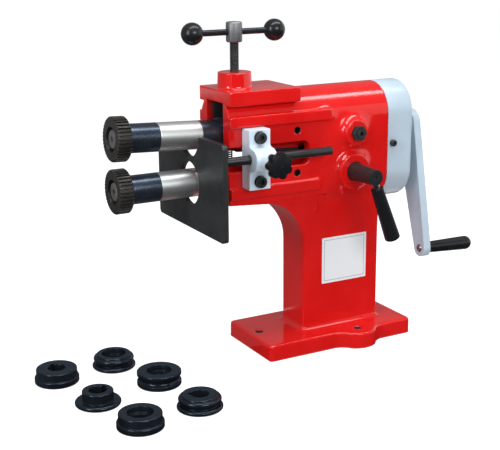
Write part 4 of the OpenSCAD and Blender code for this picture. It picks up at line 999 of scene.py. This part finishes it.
def rounded_plate(width, height, thickness, radius, corner):
    """Thin upright plate that faces -Y, with round corners, from its lower corner on the column."""
    form = bmesh.new()
    outline = []
    for cx, cz, begin in (
        (width - radius, height - radius, 0), (radius, height - radius, 90),
        (radius, radius, 180), (width - radius, radius, 270),
    ):
        for k in range(CORNER_STEPS + 1):
            a = math.radians(begin + 90 * k / CORNER_STEPS)
            outline.append((cx + radius * math.cos(a), cz + radius * math.sin(a)))
    verts = [form.verts.new((corner[0] + x, corner[1], corner[2] + z)) for x, z in outline]
    back = form.faces.new(verts)
    raised = bmesh.ops.extrude_face_region(form, geom=[back])["geom"]
    front = [g for g in raised if isinstance(g, bmesh.types.BMVert)]
    bmesh.ops.translate(form, verts=front, vec=(0, -thickness, 0))
    bmesh.ops.recalc_face_normals(form, faces=form.faces)
    mesh = bpy.data.meshes.new("plate")
    form.to_mesh(mesh)
    form.free()
    return mesh


def dress(names, material, edge=0.0, segments=2):
    """Gives CAD nodes their finish and, where asked, broken edges."""
    for name in names:
        piece = nodes[name]
        piece.data.materials.clear()
        piece.data.materials.append(material)
        if edge:
            piece.modifiers.new("joined", "WELD").merge_threshold = WELD_GAP
            broken = piece.modifiers.new("broken edges", "BEVEL")
            broken.width = edge
            broken.segments = segments
            broken.limit_method = "ANGLE"
            broken.angle_limit = EDGE_ANGLE
            broken.harden_normals = True


# Operators


class BEADING_OT_casting(bpy.types.Operator):
    """Red stand with filled corners and rounded edges, as it comes from the foundry"""

    bl_idname = "beading.casting"
    bl_label = "Cast Stand"

    def execute(self, context):
        shape = settings().casting
        even = remeshed(nodes["frame_casting"].data, "cast_stand", shape.grain)
        soften(even, fillet_zone(corners(even)), shape.fillet_passes, shape.edge_passes)
        wear(even, foot_zone(corners(even)), shape.foot_passes)
        cast_piece("cast_stand", even, "frame_casting", "frame", stand_enamel())
        return {"FINISHED"}


class BEADING_OT_grey_pieces(bpy.types.Operator):
    """Gear cover, guide bracket and crank arm in grey enamel"""

    bl_idname = "beading.grey_pieces"
    bl_label = "Grey Pieces"

    def execute(self, context):
        shape = settings().casting
        dress(["gear_cover"], grey_enamel(), settings().edge.soft, segments=3)
        for name, node, body, paint, fillet_passes in (
            ("cast_bracket", "guide_bracket", "frame", pale_enamel(), shape.bracket_passes),
            ("cast_crank", "crank_arm", "upper_spindle", grey_enamel(), 0),
        ):
            even = remeshed(nodes[node].data, name, shape.small_grain)
            everywhere = np.ones(len(even.vertices), np.float32)
            soften(even, everywhere, fillet_passes, shape.small_passes)
            cast_piece(name, even, node, body, paint)
        return {"FINISHED"}


class BEADING_OT_roller_shafts(bpy.types.Operator):
    """Both roller shafts with their rollers, collars, sleeves, washers and screws"""

    bl_idname = "beading.roller_shafts"
    bl_label = "Roller Shafts"

    def execute(self, context):
        edge = settings().edge
        for shaft in ("upper", "lower"):
            dress([shaft + "_roller"], roller_oxide(), edge.fine)
            dress([shaft + "_roller_washer"], screw_oxide(), edge.fine)
            dress([shaft + "_roller_screw"], hub_gunmetal(), edge.fine)
            dress([shaft + "_spacer_collar", shaft + "_shaft"], collar_oxide())
            dress([shaft + "_ground_sleeve"], ground_steel())
        return {"FINISHED"}


class BEADING_OT_press_screw(bpy.types.Operator):
    """Threaded press screw with its hub, tommy bar and ball knobs"""

    bl_idname = "beading.press_screw"
    bl_label = "Press Screw"

    def execute(self, context):
        low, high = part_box("press_screw")
        radius = (high.x - low.x) / 2
        rings = thread_rings(settings().thread, low.z, high.z, radius, SCREW_SIDES)
        mesh = ring_mesh(rings, SCREW_SIDES)
        screw = new_piece("threaded_screw", mesh, "screw", screw_oxide())
        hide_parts("press_screw")
        dress(["screw_hub"], hub_gunmetal(), settings().edge.fine)
        dress(["tommy_bar"], bar_oxide())
        dress(["ball_knobs"], gloss_plastic())
        return {"FINISHED"}


class BEADING_OT_lever(bpy.types.Operator):
    """Eccentric shaft with its lever rod and grip"""

    bl_idname = "beading.lever"
    bl_label = "Lever"

    def execute(self, context):
        edge = settings().edge
        dress(["eccentric_shaft"], rod_oxide(), edge.fine)
        dress(["lever_rod"], bright_steel())
        dress(["lever_grip"], matte_plastic(), edge.fine)
        return {"FINISHED"}


class BEADING_OT_crank(bpy.types.Operator):
    """Crank grip with its riveted pin, and the washer and screw of the crank"""

    bl_idname = "beading.crank"
    bl_label = "Crank Grip"

    def execute(self, context):
        edge = settings().edge
        dress(["crank_grip"], gloss_plastic(), edge.fine)
        dress(["grip_pin"], bright_steel())
        dress(["crank_washer", "crank_screw"], screw_oxide(), edge.fine)
        return {"FINISHED"}


class BEADING_OT_fence(bpy.types.Operator):
    """Fence plate with its guide rod and the star knob that clamps it"""

    bl_idname = "beading.fence"
    bl_label = "Fence"

    def execute(self, context):
        edge = settings().edge
        dress(["fence_plate"], plate_oxide(), edge.fine)
        dress(["guide_rod"], rod_oxide(), edge.fine)
        dress(["clamp_knob"], matte_plastic(), edge.soft)
        dress(["clamp_stud"], screw_oxide())
        return {"FINISHED"}


class BEADING_OT_fasteners(bpy.types.Operator):
    """Socket screws, pivot screws and lock nuts"""

    bl_idname = "beading.fasteners"
    bl_label = "Fasteners"

    def execute(self, context):
        fasteners = ["cover_screws", "bracket_screws", "pivot_screws", "pivot_locknuts"]
        dress(fasteners, screw_oxide(), settings().edge.fine)
        return {"FINISHED"}


class BEADING_OT_spare_rollers(bpy.types.Operator):
    """Six spare forming rollers on the bench"""

    bl_idname = "beading.spare_rollers"
    bl_label = "Spare Rollers"

    def execute(self, context):
        dress([n for n in nodes if n.startswith("spare_")], spare_oxide(), settings().edge.fine)
        return {"FINISHED"}


class BEADING_OT_inner_works(bpy.types.Operator):
    """Bearings, gears, keys and shoe inside head and cover"""

    bl_idname = "beading.inner_works"
    bl_label = "Inner Works"

    def execute(self, context):
        dress([n for n in nodes if n.endswith("rear_bush")], bronze())
        dress([n for n in nodes if n.endswith("front_bush")], collar_oxide())
        dress(["bearing_arm"], arm_enamel())
        dress(["lower_quill", "press_shoe"], ground_steel())
        for shaft in ("upper", "lower"):
            dress([shaft + "_keys", shaft + "_gear", shaft + "_gear_ring"], ground_steel())
        return {"FINISHED"}


class BEADING_OT_spring(bpy.types.Operator):
    """Coil spring that lifts the bearing arm and is pressed together by it"""

    bl_idname = "beading.spring"
    bl_label = "Return Spring"

    def execute(self, context):
        shape = settings().spring
        low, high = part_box("return_spring")
        mesh = ring_mesh(coil_rings(shape, low, high), shape.sides)
        body = body_of(nodes["return_spring"])[0]
        spring = new_piece("wound_spring", mesh, body, collar_oxide())
        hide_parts("return_spring")
        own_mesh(spring)
        return {"FINISHED"}


class BEADING_OT_label(bpy.types.Operator):
    """Plain white label with a thin keyline on the column"""

    bl_idname = "beading.label"
    bl_label = "Label"

    def execute(self, context):
        shape = settings().label
        mesh = rounded_plate(shape.width, shape.height, shape.thickness, shape.round, shape.corner)
        new_piece("column_label", mesh, "frame", label_foil())
        return {"FINISHED"}


def area_lamp(name, power, place, aim, size):
    lamp = bpy.data.lights.new(name, "AREA")
    lamp.shape = "RECTANGLE"
    lamp.size, lamp.size_y = size
    lamp.energy = power
    lamp.color = LAMP_COLOUR
    holder = placed(name, lamp)
    holder.location = place
    holder.rotation_euler = (Vector(aim) - Vector(place)).to_track_quat("-Z", "Y").to_euler()


def stage_sheet(name, middle, facing, size):
    """A flat sheet of the stage, and the wiring of its material."""
    turn = Vector(facing).to_track_quat("Z", "Y").to_matrix()
    x, y = size[0] / 2, size[1] / 2
    outline = ((-x, -y, 0), (x, -y, 0), (x, y, 0), (-x, y, 0))
    mesh = bpy.data.meshes.new(name)
    mesh.from_pydata([Vector(middle) + turn @ Vector(p) for p in outline], [], [(0, 1, 2, 3)])
    sheet = placed(name, mesh)
    material, wires = blank_material(name)
    mesh.materials.append(material)
    return sheet, wires


def studio_card(name, middle, facing, size, tone):
    """Card of one tone that only shows in reflections, as a photographer's flag or wall does."""
    card, wires = stage_sheet(name, middle, facing, size)
    cloth = wires.add("ShaderNodeEmission", {"Color": CARD_COLOUR, "Strength": tone})
    wires.add("ShaderNodeOutputMaterial", {"Surface": cloth.outputs[0]})
    card.visible_camera = False
    card.visible_diffuse = False
    card.visible_shadow = False


def seen_directly(wires):
    """1 for rays that show the surroundings: from the camera, off gloss or through glass."""
    rays = wires.add("ShaderNodeLightPath").outputs
    seen = wires.math("MAXIMUM", rays["Is Camera Ray"], rays["Is Glossy Ray"])
    return wires.math("MAXIMUM", seen, rays["Is Transmission Ray"])


def by_sight(wires, unseen, seen):
    """One shader for rays that show the surroundings and another for the rest."""
    return wires.add(
        "ShaderNodeMixShader", {0: seen_directly(wires), 1: unseen.outputs[0], 2: seen.outputs[0]}
    )


class BEADING_OT_stage(bpy.types.Operator):
    """Pale floor, white surroundings, soft lamps and the camera"""

    bl_idname = "beading.stage"
    bl_label = "Studio"

    def execute(self, context):
        studio = settings().studio
        scene = context.scene
        scene.view_settings.view_transform = "Standard"
        self.surroundings(scene, studio)
        self.floor(studio)
        for name, place, aim, size in LAMPS:
            area_lamp(name + "_lamp", getattr(studio, name), place, aim, size)
        for card in CARDS:
            studio_card(*card)
        self.camera(scene, studio)
        return {"FINISHED"}

    def surroundings(self, scene, studio):
        world = bpy.data.worlds.new("studio")
        scene.world = world
        world.use_nodes = True
        wires = Wiring(world.node_tree)
        white = wires.add("ShaderNodeBackground", {"Color": WHITE, "Strength": 1.0})
        soft = wires.add("ShaderNodeBackground", {"Color": SKY_COLOUR, "Strength": studio.sky})
        both = by_sight(wires, soft, white)
        wires.add("ShaderNodeOutputWorld", {"Surface": both.outputs[0]})

    def floor(self, studio):
        wires = stage_sheet("floor", (0, 0, 0), UP, (studio.floor, studio.floor))[1]
        paper = wires.add("ShaderNodeBsdfDiffuse", {"Color": FLOOR_COLOUR})
        glow = wires.add("ShaderNodeEmission", {"Color": WHITE, "Strength": FLOOR_GLOW})
        dark = wires.add("ShaderNodeEmission", {"Color": BLACK, "Strength": 0.0})
        lit = by_sight(wires, dark, glow)
        both = wires.add("ShaderNodeAddShader", {0: paper.outputs[0], 1: lit.outputs[0]})
        wires.add("ShaderNodeOutputMaterial", {"Surface": both.outputs[0]})

    def camera(self, scene, studio):
        lens = bpy.data.cameras.new("camera")
        lens.lens = studio.lens
        lens.sensor_width = SENSOR_WIDTH
        lens.clip_start = CLIP_START
        camera = placed("camera", lens)
        heading = Matrix.Rotation(-studio.yaw, 4, "Z")
        tilt = Matrix.Rotation(math.pi / 2 - studio.pitch, 4, "X")
        roll = Matrix.Rotation(studio.roll, 4, "Z")
        camera.matrix_world = Matrix.Translation(studio.eye) @ heading @ tilt @ roll
        scene.camera = camera


class BEADING_PT_panel(bpy.types.Panel):
    """Lists the steps that dress the machine"""

    bl_idname = "BEADING_PT_panel"
    bl_label = "Hand Beading Machine"
    bl_space_type = "VIEW_3D"
    bl_region_type = "UI"
    bl_category = "Beading"

    def draw(self, context):
        for step in STEPS:
            self.layout.operator(step.bl_idname)


GROUPS = (
    FinishColours, CastingShape, EdgeShape, ThreadShape, SpringShape, LabelShape, StudioSettings,
    MachineSettings,
)
STEPS = (
    BEADING_OT_stage, BEADING_OT_casting, BEADING_OT_grey_pieces, BEADING_OT_roller_shafts,
    BEADING_OT_press_screw, BEADING_OT_lever, BEADING_OT_crank, BEADING_OT_fence, BEADING_OT_fasteners,
    BEADING_OT_spare_rollers, BEADING_OT_inner_works, BEADING_OT_spring, BEADING_OT_label,
)


def register():
    for kind in (*GROUPS, *STEPS, BEADING_PT_panel):
        bpy.utils.register_class(kind)
    bpy.types.Scene.beading_machine = PointerProperty(type=MachineSettings)


def unregister():
    del bpy.types.Scene.beading_machine
    for kind in reversed((*GROUPS, *STEPS, BEADING_PT_panel)):
        bpy.utils.unregister_class(kind)


def main():
    register()
    for step in STEPS:
        family, name = step.bl_idname.split(".")
        getattr(getattr(bpy.ops, family), name)()


if __name__ == "__main__":
    main()
